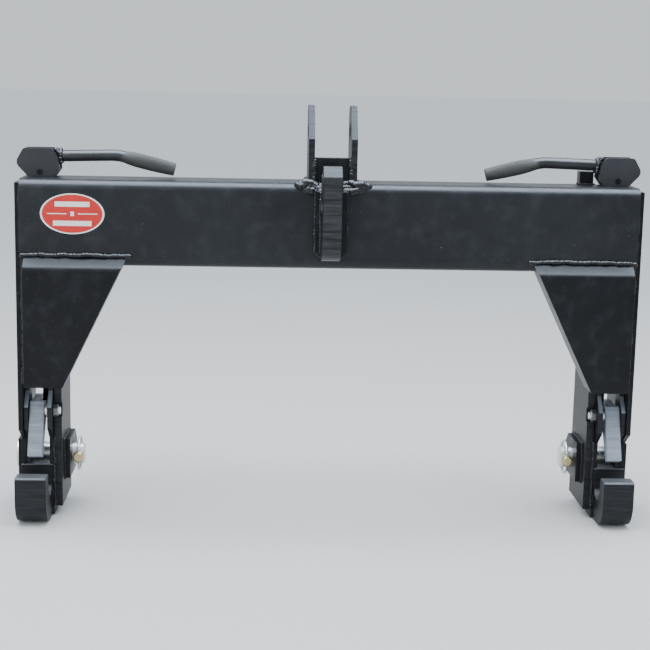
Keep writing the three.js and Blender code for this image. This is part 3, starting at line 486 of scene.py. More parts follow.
def spatter_tree():
    """Small balls scattered over the guide mesh's faces."""
    build = GeometryTree("Spatter")
    radius = build.size("Radius", 0.0008)
    density = build.size("Density", 4000.0)
    seed = build.size("Seed", 1, "NodeSocketInt")
    points = build.add(
        "GeometryNodeDistributePointsOnFaces",
        {"Mesh": build.inputs[0], "Density": density, "Seed": seed},
    )
    ball = build.add("GeometryNodeMeshIcoSphere", {"Radius": radius, "Subdivisions": 2})
    low, high = SPATTER_SIZES
    size = build.add("FunctionNodeRandomValue", {2: low, 3: high, "Seed": seed}, 1, data_type="FLOAT")
    balls = build.add("GeometryNodeInstanceOnPoints", {"Points": points, "Instance": ball, "Scale": size})
    return build.finish(balls)


def cut_face_tree():
    """A thin slab standing on Z whose -Y face carries a cutting torch's striations."""
    build = GeometryTree("Cut face")
    width = build.size("Width", 0.024)
    height = build.size("Height", 0.09)
    thickness = build.size("Thickness", SKIN)
    depth = build.size("Depth", 0.0008)
    rows = build.size("Rows", 90, "NodeSocketInt")
    seed = build.size("Seed", 1, "NodeSocketInt")
    size = build.add("ShaderNodeCombineXYZ", {0: width, 1: thickness, 2: height})
    slab = build.add(
        "GeometryNodeMeshCube", {"Size": size, "Vertices X": 7, "Vertices Y": 2, "Vertices Z": rows}
    )
    place = build.add("GeometryNodeInputPosition")
    stretch = build.vector("MULTIPLY", place, CUT_STRETCH)
    drag = build.add(
        "ShaderNodeTexNoise",
        {"Vector": stretch, "W": seed, "Scale": 1.0, "Detail": 3.0, "Roughness": 0.65},
        noise_dimensions="4D",
    )
    centred = build.maths("SUBTRACT", drag, 0.5)
    dip = build.maths("MULTIPLY", centred, build.maths("MULTIPLY", depth, 2.0))
    offset = build.add("ShaderNodeCombineXYZ", {1: dip})
    front = build.add("FunctionNodeCompare", {0: build.parts(place)[1], 1: 0.0}, operation="LESS_THAN")
    cut = build.add("GeometryNodeSetPosition", {"Geometry": slab, "Selection": front, "Offset": offset})
    return build.finish(cut)


def coil_spring_tree():
    """A coil of round wire standing on Z, its foot at the origin."""
    build = GeometryTree("Coil spring")
    radius = build.size("Radius", 0.0127)
    height = build.size("Height", 0.1)
    turns = build.size("Turns", 11.0)
    wire = build.size("Wire", 0.0018)
    coil = build.add(
        "GeometryNodeCurveSpiral",
        {"Resolution": 28, "Rotations": turns, "Start Radius": radius, "End Radius": radius,
         "Height": height},
    )
    section = build.add("GeometryNodeCurvePrimitiveCircle", {"Resolution": 12, "Radius": wire})
    body = build.add(
        "GeometryNodeCurveToMesh", {"Curve": coil, "Profile Curve": section, "Fill Caps": True}
    )
    return build.finish(body)


TREES = {}


def grown(maker, name, guide, values, material):
    """Runs a tree on a guide mesh and returns its result as a plain object."""
    if maker not in TREES:
        TREES[maker] = maker()
    tree = TREES[maker]
    carrier = new_object(name + "_guide", guide)
    modifier = carrier.modifiers.new("Grow", "NODES")
    modifier.node_group = tree
    sockets = {
        item.name: item.identifier for item in tree.interface.items_tree if item.in_out == "INPUT"
    }
    for key, value in {**values, "Material": material}.items():
        modifier[sockets[key]] = value
    mesh = plain_mesh(carrier)
    bpy.data.objects.remove(carrier)
    obj = new_object(name, mesh)
    if not mesh.polygons:
        raise RuntimeError(f"{name} came out empty")
    return obj


# ------------------------------------------------------------------ materials
class Shader(NodeBuilder):
    """A material's node tree on Object coordinates."""

    def __init__(self, name, **constants):
        self.material = bpy.data.materials.new(name)
        self.material.use_nodes = True
        super().__init__(self.material.node_tree)
        self.surface = self.tree.nodes["Principled BSDF"]
        for key, value in constants.items():
            self.surface.inputs[key.replace("_", " ")].default_value = value
        self.place = self.add("ShaderNodeTexCoord", output="Object")

    def noise(self, scale, detail=3.0, stretch=None, seed=0.0):
        """A noise value at a scale, optionally stretched along the axes."""
        place = self.place
        if stretch:
            place = self.add("ShaderNodeMapping", {"Vector": place, "Scale": stretch})
        return self.add(
            "ShaderNodeTexNoise",
            {"Vector": place, "W": seed, "Scale": scale, "Detail": detail, "Roughness": 0.6},
            noise_dimensions="4D",
        )

    def between(self, value, low, high, start=0.0, end=1.0):
        """The value stretched from the range low..high to start..end, and held there."""
        return self.add("ShaderNodeMapRange", {0: value, 1: low, 2: high, 3: start, 4: end})

    def mixed(self, share, first, second):
        """A colour between two colours."""
        return self.add("ShaderNodeMix", {0: share, 6: first, 7: second}, 2, data_type="RGBA")

    def mottled(self, noise, reach, colour, levels):
        """A colour dimmed and lifted in patches where a noise value passes through its reach."""
        dim, lift = levels
        return self.mixed(self.between(noise, *reach), opaque(colour, dim), opaque(colour, lift))

    def bump(self, height, distance, strength=1.0, under=None):
        """A normal raised by a height value."""
        inputs = {"Height": height, "Distance": distance, "Strength": strength}
        if under:
            inputs["Normal"] = under
        return self.add("ShaderNodeBump", inputs)

    def surface_is(self, **inputs):
        """Joins values to the surface's inputs."""
        for key, value in inputs.items():
            self.put(self.surface, key.replace("_", " "), value)
        return self.material


def opaque(colour, level=1.0):
    """A colour with full alpha, optionally dimmed or lifted."""
    return tuple(min(1.0, channel * level) for channel in colour) + (1.0,)


def enamel(name, colour, dust_and_highlight, gloss=(0.28, 0.46), shine=0.24):
    """Sprayed enamel: soft mottling, orange peel, a dusty film, small chips and scratches."""
    paint = Shader(name, Specular_IOR_Level=shine, Coat_Weight=0.06, Coat_Roughness=0.16)
    cloud = paint.noise(7.0, 4.0)
    film = paint.noise(38.0, 5.0, seed=3.0)
    base = paint.mottled(cloud, (0.35, 0.68), colour, (0.78, 1.25))
    dusty = paint.maths("MULTIPLY", paint.between(film, 0.5, 0.78), 0.35)
    coated = paint.mixed(dusty, base, opaque(dust_and_highlight))
    scratch = paint.noise(60.0, 2.0, stretch=(0.12, 1.0, 1.6), seed=9.0)
    scratched = paint.maths("MULTIPLY", paint.between(scratch, 0.735, 0.76), 0.5)
    chip = paint.noise(210.0, 1.0, seed=5.0)
    chipped = paint.maths("MULTIPLY", paint.between(chip, 0.77, 0.79), 0.6)
    worn = paint.maths("MAXIMUM", scratched, chipped)
    skin = paint.bump(paint.noise(420.0, 2.0, seed=1.0), 0.00012)
    return paint.surface_is(
        Base_Color=paint.mixed(worn, coated, opaque(dust_and_highlight, 2.4)),
        Roughness=paint.between(film, 0.3, 0.7, *gloss),
        Normal=paint.bump(worn, 0.0002, 0.6, skin),
    )


def worn_grip(name, colour, enamel_colour, dust_and_highlight):
    """A bar whose enamel gives way to a worn coating on the flattened grip."""
    bar = Shader(name, Specular_IOR_Level=0.36, Coat_Weight=0.0, Coat_Roughness=0.2)
    x, _, z = bar.parts(bar.place)
    low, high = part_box("handle_right")
    bend = low.x + (high.x - low.x) * GRIP_BEND
    leaning = bar.maths("MULTIPLY", bar.maths("SUBTRACT", z, high.z), GRIP_SLANT)
    slanted = bar.maths("ADD", bar.maths("ABSOLUTE", x), leaning)
    edge = bar.maths("ADD", slanted, bar.maths("MULTIPLY", bar.noise(90.0, 3.0), GRIP_RAGGED))
    shoulder = bar.between(edge, bend - 0.006, bend + 0.002)
    wear = bar.noise(30.0, 4.0, stretch=(0.5, 1.0, 2.0), seed=2.0)
    coating = bar.mottled(wear, (0.35, 0.68), colour, (0.75, 1.3))
    painted = bar.mixed(bar.between(wear, 0.4, 0.75), opaque(enamel_colour, 1.6), opaque(dust_and_highlight))
    return bar.surface_is(
        Base_Color=bar.mixed(shoulder, coating, painted),
        Roughness=bar.between(shoulder, 0.0, 1.0, 0.78, 0.3),
        Normal=bar.bump(bar.noise(320.0, 3.0, seed=4.0), 0.00025),
    )


def flame_cut(name, colour, dust_and_highlight, lines=520.0, depth=0.0006, gloss=(0.34, 0.52), top_highlight=None):
    """Enamel over a flame-cut edge: striations that run across the plate's thickness.

    A lighter top colour is painted on edges that lean back and face up, a painted highlight for the light
    from above.
    """
    paint = Shader(name, Specular_IOR_Level=0.2, Coat_Weight=0.04, Coat_Roughness=0.25)
    drag = paint.noise(1.0, 3.0, stretch=(18.0, lines * 0.45, lines))
    coarse = paint.noise(1.0, 2.0, stretch=(10.0, lines * 0.12, lines * 0.28), seed=4.0)
    across, _, upward = paint.parts(paint.add("ShaderNodeNewGeometry", output="Normal"))
    on_edge = paint.between(paint.maths("ABSOLUTE", across), 0.3, 0.7, 1.0, 0.0)
    ridge = paint.maths("ADD", paint.maths("MULTIPLY", drag, 0.6), paint.maths("MULTIPLY", coarse, 0.6))
    height = paint.maths("MULTIPLY", ridge, on_edge)
    # Painted highlight: the ridges of the striations on the plate's edges are mixed towards the second
    # colour, as if lit.
    lit = paint.maths("MULTIPLY", paint.between(ridge, 0.5, 0.8), on_edge)
    base = paint.mottled(paint.noise(16.0, 4.0, seed=2.0), (0.35, 0.7), colour, (0.8, 1.25))
    striped = paint.mixed(paint.maths("MULTIPLY", lit, 0.55), base, opaque(dust_and_highlight))
    # Painted highlight: faces that turn upwards are mixed towards the top colour, standing in for light from
    # above.
    if top_highlight:
        leaning = paint.between(upward, 0.3, 0.45)
        striped = paint.mixed(paint.maths("MULTIPLY", leaning, 0.8), striped, opaque(top_highlight))
    skin = paint.bump(paint.noise(380.0, 2.0, seed=1.0), 0.00012)
    return paint.surface_is(
        Base_Color=striped,
        Roughness=paint.between(drag, 0.3, 0.7, *gloss),
        Normal=paint.bump(height, depth, 0.8, skin),
    )


def plated(name, colour, stain, rough=(0.24, 0.5), metal=0.9):
    """Zinc plating: cloudy patches, fine turning marks and a few dull stains."""
    zinc = Shader(name, Metallic=metal, Specular_IOR_Level=0.5)
    cloud = zinc.noise(70.0, 4.0)
    spot = zinc.noise(160.0, 3.0, seed=6.0)
    base = zinc.mottled(cloud, (0.35, 0.68), colour, (0.82, 1.08))
    return zinc.surface_is(
        Base_Color=zinc.mixed(zinc.between(spot, 0.62, 0.75, 0.0, 0.55), base, opaque(stain)),
        Roughness=zinc.between(cloud, 0.3, 0.7, *rough),
        Normal=zinc.bump(zinc.noise(420.0, 2.0, seed=2.0), 0.00008),
    )


def bead_paint(name, colour, dust_and_highlight):
    """Painted weld metal: uneven gloss, random sooty mottling and a painted highlight on the raised lumps.
    """
    bead = Shader(name, Specular_IOR_Level=0.32, Coat_Weight=0.1, Coat_Roughness=0.14)
    lump = bead.noise(260.0, 3.0)
    soot = bead.noise(90.0, 3.0, seed=3.0)
    base = bead.mottled(soot, (0.35, 0.7), colour, (0.7, 1.7))
    return bead.surface_is(
        # Painted highlight: the lumps that the bump raises are mixed towards the paler second colour.
        Base_Color=bead.mixed(bead.between(lump, 0.62, 0.8, 0.0, 0.4), base, opaque(dust_and_highlight)),
        Roughness=bead.between(soot, 0.3, 0.7, 0.22, 0.42),
        Normal=bead.bump(lump, 0.0005),
    )


def label_print(name, centre, half_width, half_height, red, white):
    """A red oval with a white rim, two white bars and a divided rule, drawn about its centre."""
    vinyl = Shader(name, Specular_IOR_Level=0.5)
    x, _, z = vinyl.parts(vinyl.vector("SUBTRACT", vinyl.place, tuple(centre)))
    across = vinyl.maths("DIVIDE", x, half_width)
    up = vinyl.maths("DIVIDE", z, half_height)
    square = vinyl.maths(
        "ADD", vinyl.maths("MULTIPLY", across, across), vinyl.maths("MULTIPLY", up, up)
    )

    def within(value, middle, half):
        """1 where a value is within a half size of a middle, else 0."""
        away = vinyl.maths("ABSOLUTE", vinyl.maths("SUBTRACT", value, middle))
        return vinyl.maths("LESS_THAN", away, half)

    marks = vinyl.maths("GREATER_THAN", square, LABEL_RIM)
    for middle_x, middle_z, reach, rise in LABEL_MARKS:
        bar = vinyl.maths("MULTIPLY", within(across, middle_x, reach), within(up, middle_z, rise))
        marks = vinyl.maths("MAXIMUM", marks, bar)
    fade = vinyl.noise(45.0, 4.0)
    tired = vinyl.mottled(fade, (0.35, 0.7), red, (0.9, 1.08))
    return vinyl.surface_is(
        Base_Color=vinyl.mixed(marks, tired, opaque(white)),
        Roughness=vinyl.between(fade, 0.3, 0.7, 0.38, 0.55),
        Normal=vinyl.bump(vinyl.noise(700.0, 2.0, seed=2.0), 0.00004),
    )


MATERIALS = {}


def finish(name):
    """The named finish, made on first use."""
    if name in MATERIALS:
        return MATERIALS[name]
    colours = bpy.context.scene.hitch_finishes
    black, dust_and_highlight = colours.enamel, colours.dust_and_highlight
    makers = {
        "plate enamel": lambda: enamel("Plate enamel", black, dust_and_highlight, shine=0.13),
        "beam enamel": lambda: enamel("Beam enamel", colours.beam_enamel, dust_and_highlight, (0.3, 0.48)),
        # The flame-cut finishes paint a highlight on their striations' ridges in their second colour; the
        # cheek and hook edges also get a painted highlight on faces that turn up.
        "cut edge": lambda: flame_cut("Flame-cut edge", black, dust_and_highlight),
        "cheek edge": lambda: flame_cut("Cheek edge", black, dust_and_highlight, top_highlight=colours.latch_grey),
        "hook edge": lambda: flame_cut("Hook edge", black, dust_and_highlight, depth=0.0003, top_highlight=HOOK_TOP_HIGHLIGHT),
        "hook cut": lambda: flame_cut("Hook cut face", black, HOOK_RIDGE_HIGHLIGHT),
        "latch grey": lambda: flame_cut(
            "Latch grey", colours.latch_grey, LATCH_RIDGE_HIGHLIGHT, 430.0, 0.0007, (0.3, 0.46)
        ),
        # The weld's second colour is painted on the bead's lumps as a highlight.
        "weld": lambda: bead_paint("Painted weld", black, dust_and_highlight),
        "zinc": lambda: plated("Bright zinc", colours.zinc, ZINC_STAIN),
        "yellow zinc": lambda: plated("Yellow zinc", colours.yellow_zinc, YELLOW_ZINC_STAIN),
        "spring": lambda: plated("Spring wire", colours.spring, SPRING_STAIN, (0.3, 0.5), 0.8),
        "cam enamel": lambda: enamel("Cam enamel", colours.cam_enamel, dust_and_highlight, (0.3, 0.45)),
        "grip": lambda: worn_grip("Worn grip", colours.grip, black, dust_and_highlight),
    }
    MATERIALS[name] = makers[name]()
    return MATERIALS[name]


# ------------------------------------------------------------------ welds
def weld(name, body, paths, radius, seed, wander=None):
    """A bead along paths, riding on a body."""
    sizes = bpy.context.scene.hitch_welds
    values = {
        "Radius": radius,
        "Pitch": sizes.pitch,
        "Wander": sizes.wander if wander is None else wander,
        "Seed": sizes.seed + seed,
    }
    obj = grown(weld_bead_tree, name, path_mesh(name, paths), values, finish("weld"))
    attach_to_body(obj, body)
    return obj


def circle_points(centre, radius, count=28):
    """A closed circle about X."""
    points = []
    for index in range(count + 1):
        turn = index / count * math.tau
        points.append((centre.x, centre.y + math.cos(turn) * radius, centre.z + math.sin(turn) * radius))
    return points


def mirrored(side, points):
    """Points drawn for the right side, placed on either side."""
    return [(side * x, y, z) for x, y, z in points]


def side_weld(name, side, lines, radius, seed, wander=None):
    """A bead on the frame, drawn for the right side and laid on either side."""
    weld(name, ROOT, [mirrored(side, line) for line in lines], radius, seed, wander)


def upright(x, y, low, high):
    """A straight line up."""
    return [(x, y, low), (x, y, high)]


def span(node):
    """How far a node's inner and outer faces are from the hitch's middle."""
    low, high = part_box(node)
    return sorted((abs(low.x), abs(high.x)))


def patch_corners(inner, outer, y, low, high):
    """Corners of an upright rectangle that faces along Y."""
    return [(inner, y, low), (outer, y, low), (outer, y, high), (inner, y, high)]


def spatter(name, body, corners, seed):
    """Weld spatter on a flat patch."""
    sizes = bpy.context.scene.hitch_welds
    patch = bpy.data.meshes.new(name)
    patch.from_pydata([Vector(corner) for corner in corners], [], [(0, 1, 2, 3)])
    values = {"Radius": sizes.spatter_size, "Density": sizes.spatter_density, "Seed": sizes.seed + seed}
    obj = grown(spatter_tree, name, patch, values, finish("weld"))
    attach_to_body(obj, body)
    return obj


# ------------------------------------------------------------------ operators
class PieceOperator(bpy.types.Operator):
    """Base of the operators that make the hitch's pieces."""

    bl_options = {"REGISTER", "UNDO"}
    plates = ()  # name, finish, and where they differ ease and sharp angle

    def dress(self, word):
        """Eases one side's plates."""
        for piece, look, *sizes in self.plates:
            eased(f"{piece}_{word}", finish(look), *sizes)


class HITCH_OT_frame(PieceOperator):
    """Make the beam, leg plates, cheeks, boss plates and guide plates"""

    bl_idname = "hitch.frame"
    bl_label = "Welded frame"
    plates = (
        ("outer_leg_plate", "plate enamel", 0.0008),
        ("inner_leg_plate", "cut edge", 0.0012),
        ("outer_cheek", "cheek edge", 0.0009, FINE_SHARP),
        ("inner_cheek", "cheek edge", 0.0009, FINE_SHARP),
        ("outer_boss_plate", "plate enamel", 0.0012),
        ("inner_boss_plate", "plate enamel", 0.0012),
        ("rod_guide_plate", "plate enamel"),
    )

    def execute(self, context):
        """Dresses each plate of the frame."""
        eased("beam_tube", finish("beam enamel"))
        for word, _side in SIDES:
            self.dress(word)
        return {"FINISHED"}


class HITCH_OT_hoods(PieceOperator):
    """Make the folded gusset hoods"""

    bl_idname = "hitch.hoods"
    bl_label = "Gusset hoods"
    plates = (("gusset_hood", "plate enamel", 0.0012),)

    def execute(self, context):
        """Dresses both hoods."""
        for word, _side in SIDES:
            self.dress(word)
        return {"FINISHED"}


def cut_skin(name, node, width, height, place, seed, material):
    """A torch-cut skin on the face of a thick plate, riding with the plate."""
    sizes = bpy.context.scene.hitch_cuts
    values = {
        "Width": width,
        "Height": height,
        "Thickness": SKIN,
        "Depth": sizes.depth,
        "Rows": max(8, round(height / sizes.pitch)),
        "Seed": seed,
    }
    obj = grown(cut_face_tree, name, path_mesh(name, [[(0, 0, 0), (0, 0, 1)]]), values, material)
    obj.data.transform(place)
    obj.data.update()
    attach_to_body(shade(obj, math.radians(50)), NODE_BODY[node])
    return obj


class HITCH_OT_hooks(PieceOperator):
    """Make the lower hooks"""

    bl_idname = "hitch.hooks"
    bl_label = "Lower hooks"
    plates = (("lower_hook", "hook edge", 0.0030),)

    def execute(self, context):
        """Dresses both lower hooks."""
        for word, _side in SIDES:
            self.dress(word)
        return {"FINISHED"}


class HITCH_OT_mast(PieceOperator):
    """Make the mast ears, their cross plate, the top hook and its backing block"""

    bl_idname = "hitch.mast"
    bl_label = "Mast and top hook"
    plates = (("mast_ear", "cut edge", 0.0010, FINE_SHARP),)
    skin_foot = 0.050
    skin_head = 0.018
    skin_inset = 0.004

    def execute(self, context):
        """Dresses the mast and lays the cut skin on the hook's front."""
        for word, _side in SIDES:
            self.dress(word)
        eased("mast_cross_plate", finish("plate enamel"))
        eased("top_hook_backing", finish("plate enamel"), 0.0015)
        room = context.scene.hitch_cuts.depth * 1.5
        eased("top_hook", finish("hook cut"), 0.0016, set_back=room)
        low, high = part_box("top_hook")
        width = high.x - low.x - self.skin_inset
        foot, head = low.z + self.skin_foot, high.z - self.skin_head
        face = low.y + room + SKIN / 2 - context.scene.hitch_cuts.proud
        centre = Vector(((low.x + high.x) / 2, face, (foot + head) / 2))
        cut_skin("top_hook_cut_face", "top_hook", width, head - foot, Matrix.Translation(centre), 3,
                 finish("hook cut"))
        return {"FINISHED"}


class HITCH_OT_latches(PieceOperator):
    """Make the latches with their torch-cut front faces, and their pivots"""

    bl_idname = "hitch.latches"
    bl_label = "Latches"
    tip_drop = 0.066
    brow_rise = 0.017
    brow_front = 0.006
    plates = (
        ("latch", "latch grey", 0.0012),
        ("latch_pivot_bolt", "zinc", 0.0006),
        ("latch_pivot_nut", "spring", 0.0006),
        ("latch_spacer", "zinc", 0.0006),
    )

    def execute(self, context):
        """Dresses the latches and lays a cut skin along each blade's front, from tip to brow."""
        proud = context.scene.hitch_cuts.proud
        for index, (word, _side) in enumerate(SIDES):
            self.dress(word)
            low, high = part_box(f"latch_{word}")
            bolt_low, bolt_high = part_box(f"latch_spacer_{word}")
            pivot = (bolt_low + bolt_high) / 2
            tip = Vector((0, low.y, pivot.z - self.tip_drop))
            brow = Vector((0, pivot.y - self.brow_front, pivot.z + self.brow_rise))
            along = brow - tip
            lean = Matrix.Rotation(-math.atan2(along.y, along.z), 4, "X")
            middle = (tip + brow) / 2
            middle.x = (low.x + high.x) / 2
            inset = lean @ Vector((0, SKIN / 2 - proud, 0))
            place = Matrix.Translation(middle + inset) @ lean
            cut_skin(f"latch_cut_face_{word}", f"latch_{word}", high.x - low.x - 0.003,
                     along.length - 0.004, place, 11 + index, finish("latch grey"))
        return {"FINISHED"}


class HITCH_OT_release(PieceOperator):
    """Make the release rods, their cross pins and washers, and the coil springs"""

    bl_idname = "hitch.release"
    bl_label = "Release rods and springs"
    plates = (
        ("rod_cross_pin", "zinc", 0.0006),
        ("spring_washer", "zinc", 0.0004),
    )

    def execute(self, context):
        """Dresses the rods and winds a spring on each."""
        sizes = context.scene.hitch_springs
        for word, _side in SIDES:
            rounded(f"release_rod_{word}", finish("plate enamel"), 1)
            self.dress(word)
            node = f"return_spring_{word}"
            low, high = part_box(node)
            values = {
                "Radius": (high.x - low.x - sizes.wire) / 2,
                "Height": high.z - low.z - sizes.wire,
                "Turns": sizes.turns,
                "Wire": sizes.wire / 2,
            }
            guide = path_mesh(node, [[(0, 0, 0), (0, 0, 1)]])
            coil = grown(coil_spring_tree, f"{node}_coil", guide, values, finish("spring"))
            foot = Vector(((low.x + high.x) / 2, (low.y + high.y) / 2, low.z + sizes.wire / 2))
            coil.data.transform(Matrix.Translation(foot))
            attach(coil, node)
            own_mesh(coil)
        return {"FINISHED"}


class HITCH_OT_levers(PieceOperator):
    """Make the cam plates, handles, cam pins and the stop block"""

    bl_idname = "hitch.levers"
    bl_label = "Release levers"
    bar_drop = 0.0115
    bar_ring = 0.0098

    def execute(self, context):
        """Dresses both levers, with the weld that joins each bar to its cam."""
        radius = context.scene.hitch_welds.fillet
        for index, (word, side) in enumerate(SIDES):
            for piece in ("cam_plate_front", "cam_plate_rear"):
                eased(f"{piece}_{word}", finish("cam enamel"), 0.0010, corner=0.013)
            rounded(f"handle_{word}", finish("grip"), 2)
            eased(f"cam_pin_{word}", finish("plate enamel"), 0.0010)
            low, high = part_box(f"cam_plate_front_{word}")
            front, rear = high.y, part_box(f"cam_plate_rear_{word}")[0].y
            inner = high.x if side < 0 else low.x
            bar_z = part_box(f"handle_{word}")[1].z - self.bar_drop
            seams = [
                [(inner - side * 0.002, y, bar_z - 0.011), (inner, y, bar_z),
                 (inner + side * 0.006, y, bar_z + 0.010)]
                for y in (front, rear)
            ]
            seams.append(circle_points(Vector((inner, (front + rear) / 2, bar_z)), self.bar_ring))
            weld(f"handle_weld_{word}", NODE_BODY[f"handle_{word}"], seams, radius, 40 + index)
        eased("lever_stop_right", finish("plate enamel"), 0.0012)
        return {"FINISHED"}


class HITCH_OT_pins(PieceOperator):
    """Make the lower link pins, linchpins and their rings"""

    bl_idname = "hitch.pins"
    bl_label = "Link pins and linchpins"
    plates = (
        ("lower_link_pin", "zinc", 0.0010),
        ("linchpin", "yellow zinc", 0.0010),
    )

    def execute(self, context):
        """Dresses the pins on both sides."""
        for word, _side in SIDES:
            self.dress(word)
            rounded(f"linchpin_ring_{word}", finish("zinc"), 1)
        return {"FINISHED"}


class HITCH_OT_label(PieceOperator):
    """Make the oval label"""

    bl_idname = "hitch.label"
    bl_label = "Oval label"

    def execute(self, context):
        """Prints the label on its disc."""
        low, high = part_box("oval_label")
        colours = context.scene.hitch_finishes
        centre = (low + high) / 2
        vinyl = label_print("Oval print", centre, (high.x - low.x) / 2, (high.z - low.z) / 2,
                            colours.label_red, colours.label_white)
        eased("oval_label", vinyl, 0.0001)
        return {"FINISHED"}


class HITCH_OT_welds(PieceOperator):
    """Lay the weld beads of the frame"""

    bl_idname = "hitch.welds"
    bl_label = "Weld beads"

    def execute(self, context):
        """Lays every bead on both sides, then the top hook's."""
        sizes = context.scene.hitch_welds
        for index, (word, side) in enumerate(SIDES):
            seed = LEG_SEED + SEEDS_A_SIDE * index
            self.hood_beads(sizes, word, side, seed)
            self.leg_beads(sizes, word, side, seed + 2)
            self.spatters(word, side, seed + 8)
            self.mast_beads(sizes, word, side, MAST_SEED + SEEDS_A_SIDE * index)
        self.hook_beads(sizes)
        return {"FINISHED"}

    def hood_seam(self, word):
        """Where a hood's outer edge meets the outer leg plate."""
        return (span(f"gusset_hood_{word}")[1] + span(f"outer_leg_plate_{word}")[0]) / 2

    def hood_beads(self, sizes, word, side, seed):
        """Beads along the top and the outer edge of a hood."""
        low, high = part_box(f"gusset_hood_{word}")
        inner, outer = span(f"gusset_hood_{word}")
        top = high.z + LAP_RISE
        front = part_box("beam_tube")[0].y - LAP_PROUD
        lap = [(outer + 0.003, front, top - 0.002), ((outer + inner) / 2, front, top),
               (inner - RUN_OUT, front, top - 0.001)]
        side_weld(f"hood_top_weld_{word}", side, [lap], sizes.heavy, seed, 0.0011)
        edge_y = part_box(f"outer_leg_plate_{word}")[0].y - 0.001
        edge = upright(self.hood_seam(word), edge_y, low.z + RUN_OUT, top)
        side_weld(f"hood_side_weld_{word}", side, [edge], sizes.heavy * 0.9, seed + 1)

    def leg_beads(self, sizes, word, side, seed):
        """Beads that join one leg to the beam, and its boss plates, hook and link pin to the leg."""
        beam_low, beam_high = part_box("beam_tube")
        plate_low, plate_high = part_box(f"outer_leg_plate_{word}")
        end, front, top = abs(beam_low.x), plate_low.y - 0.0005, plate_high.z - CORNER_STOP
        hood_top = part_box(f"gusset_hood_{word}")[1].z + LAP_RISE
        ends = [
            upright(end, front, hood_top + RUN_OUT, top),
            upright(end, beam_high.y, beam_low.z + 0.01, top),
            [(end, plate_low.y + HEAVY_RUN_OUT, plate_high.z),
             (end, beam_high.y - HEAVY_RUN_OUT, plate_high.z)],
        ]
        side_weld(f"beam_end_weld_{word}", side, ends, sizes.fillet, seed)
        inner_low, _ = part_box(f"inner_leg_plate_{word}")
        faces = span(f"inner_leg_plate_{word}")
        under = [
            [(x, inner_low.y + RUN_OUT, beam_low.z), (x, beam_high.y - 0.002, beam_low.z)]
            for x in faces
        ]
        side_weld(f"leg_top_weld_{word}", side, under, sizes.fillet, seed + 1)
        for index, (place, face) in enumerate((("inner", 1), ("outer", 0))):
            node = f"{place}_boss_plate_{word}"
            low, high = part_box(node)
            outline = [
                (low.y, low.z), (high.y - BOSS_CUT, low.z), (high.y, low.z + BOSS_CUT),
                (high.y, high.z - BOSS_CUT), (high.y - BOSS_CUT, high.z), (low.y, high.z),
                (low.y, low.z),
            ]
            line = [(span(node)[face], min(y, BOSS_BACK), z) for y, z in outline]
            side_weld(f"{place}_boss_weld_{word}", side, [line], sizes.fillet * 0.8,
                      seed + 2 + index, 0.0006)
        seam, joint_y = faces[1] + 0.0002, inner_low.y - 0.0004
        gap_low, gap_high = HOOK_SEAM_GAP
        lines = [
            upright(seam, joint_y, inner_low.z + RUN_OUT, gap_low),
            upright(seam, joint_y, gap_high, HOOK_SEAM_TOP),
        ]
        side_weld(f"hook_weld_{word}", side, lines, sizes.fillet, seed + 4)
        flange = Vector((side * span(f"outer_boss_plate_{word}")[1], 0, 0))
        ring = circle_points(flange, FLANGE_RING)
        weld(f"link_pin_weld_{word}", ROOT, [ring], sizes.fillet * 0.8, seed + 5, 0.0005)

    def spatters(self, word, side, seed):
        """Spatter on the beam above a hood, and on the inner leg plate's front."""
        width, low, high = SPATTER_PATCH
        seam = self.hood_seam(word)
        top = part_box(f"gusset_hood_{word}")[1].z + LAP_RISE
        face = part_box("beam_tube")[0].y - LAP_PROUD + 0.0014
        corners = patch_corners(seam - width, seam, face, top + low, top + high)
        spatter(f"beam_spatter_{word}", ROOT, mirrored(side, corners), seed)
        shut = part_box(f"inner_leg_plate_{word}")[0].y + 0.0001
        inner, outer = span(f"inner_leg_plate_{word}")
        corners = patch_corners(inner + 0.001, outer - 0.001, shut, *LEG_PATCH)
        spatter(f"leg_spatter_{word}", ROOT, mirrored(side, corners), seed + 1)

    def mast_beads(self, sizes, word, side, seed):
        """Beads round one mast ear's foot."""
        beam_low, beam_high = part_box("beam_tube")
        ear_low, ear_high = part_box(f"mast_ear_{word}")
        inside, outside = span(f"mast_ear_{word}")
        top = beam_high.z
        corner_y, corner_z = beam_low.y + 0.0045, top - 0.0040
        heap = [
            [(x + (outside if x > 0 else inside), corner_y + y, corner_z + z) for x, y, z in line]
            for line in EAR_HEAP
        ]
        side_weld(f"ear_foot_heap_{word}", side, heap, sizes.heavy * 1.75, seed, 0.0032)
        along = [
            [(outside + 0.001, ear_low.y + 0.002, top), (outside + 0.001, ear_high.y, top)],
            [(inside - 0.001, ear_low.y + 0.018, top), (inside - 0.001, ear_high.y, top)],
            [(inside, ear_high.y, top), (outside, ear_high.y, top)],
        ]
        side_weld(f"ear_foot_weld_{word}", side, along, sizes.heavy, seed + 1)
        low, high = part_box("mast_cross_plate")
        rise = [upright(inside, y, top, high.z - CORNER_STOP) for y in (low.y - 0.001, high.y + 0.001)]
        side_weld(f"cross_plate_weld_{word}", side, rise, sizes.heavy, seed + 2)

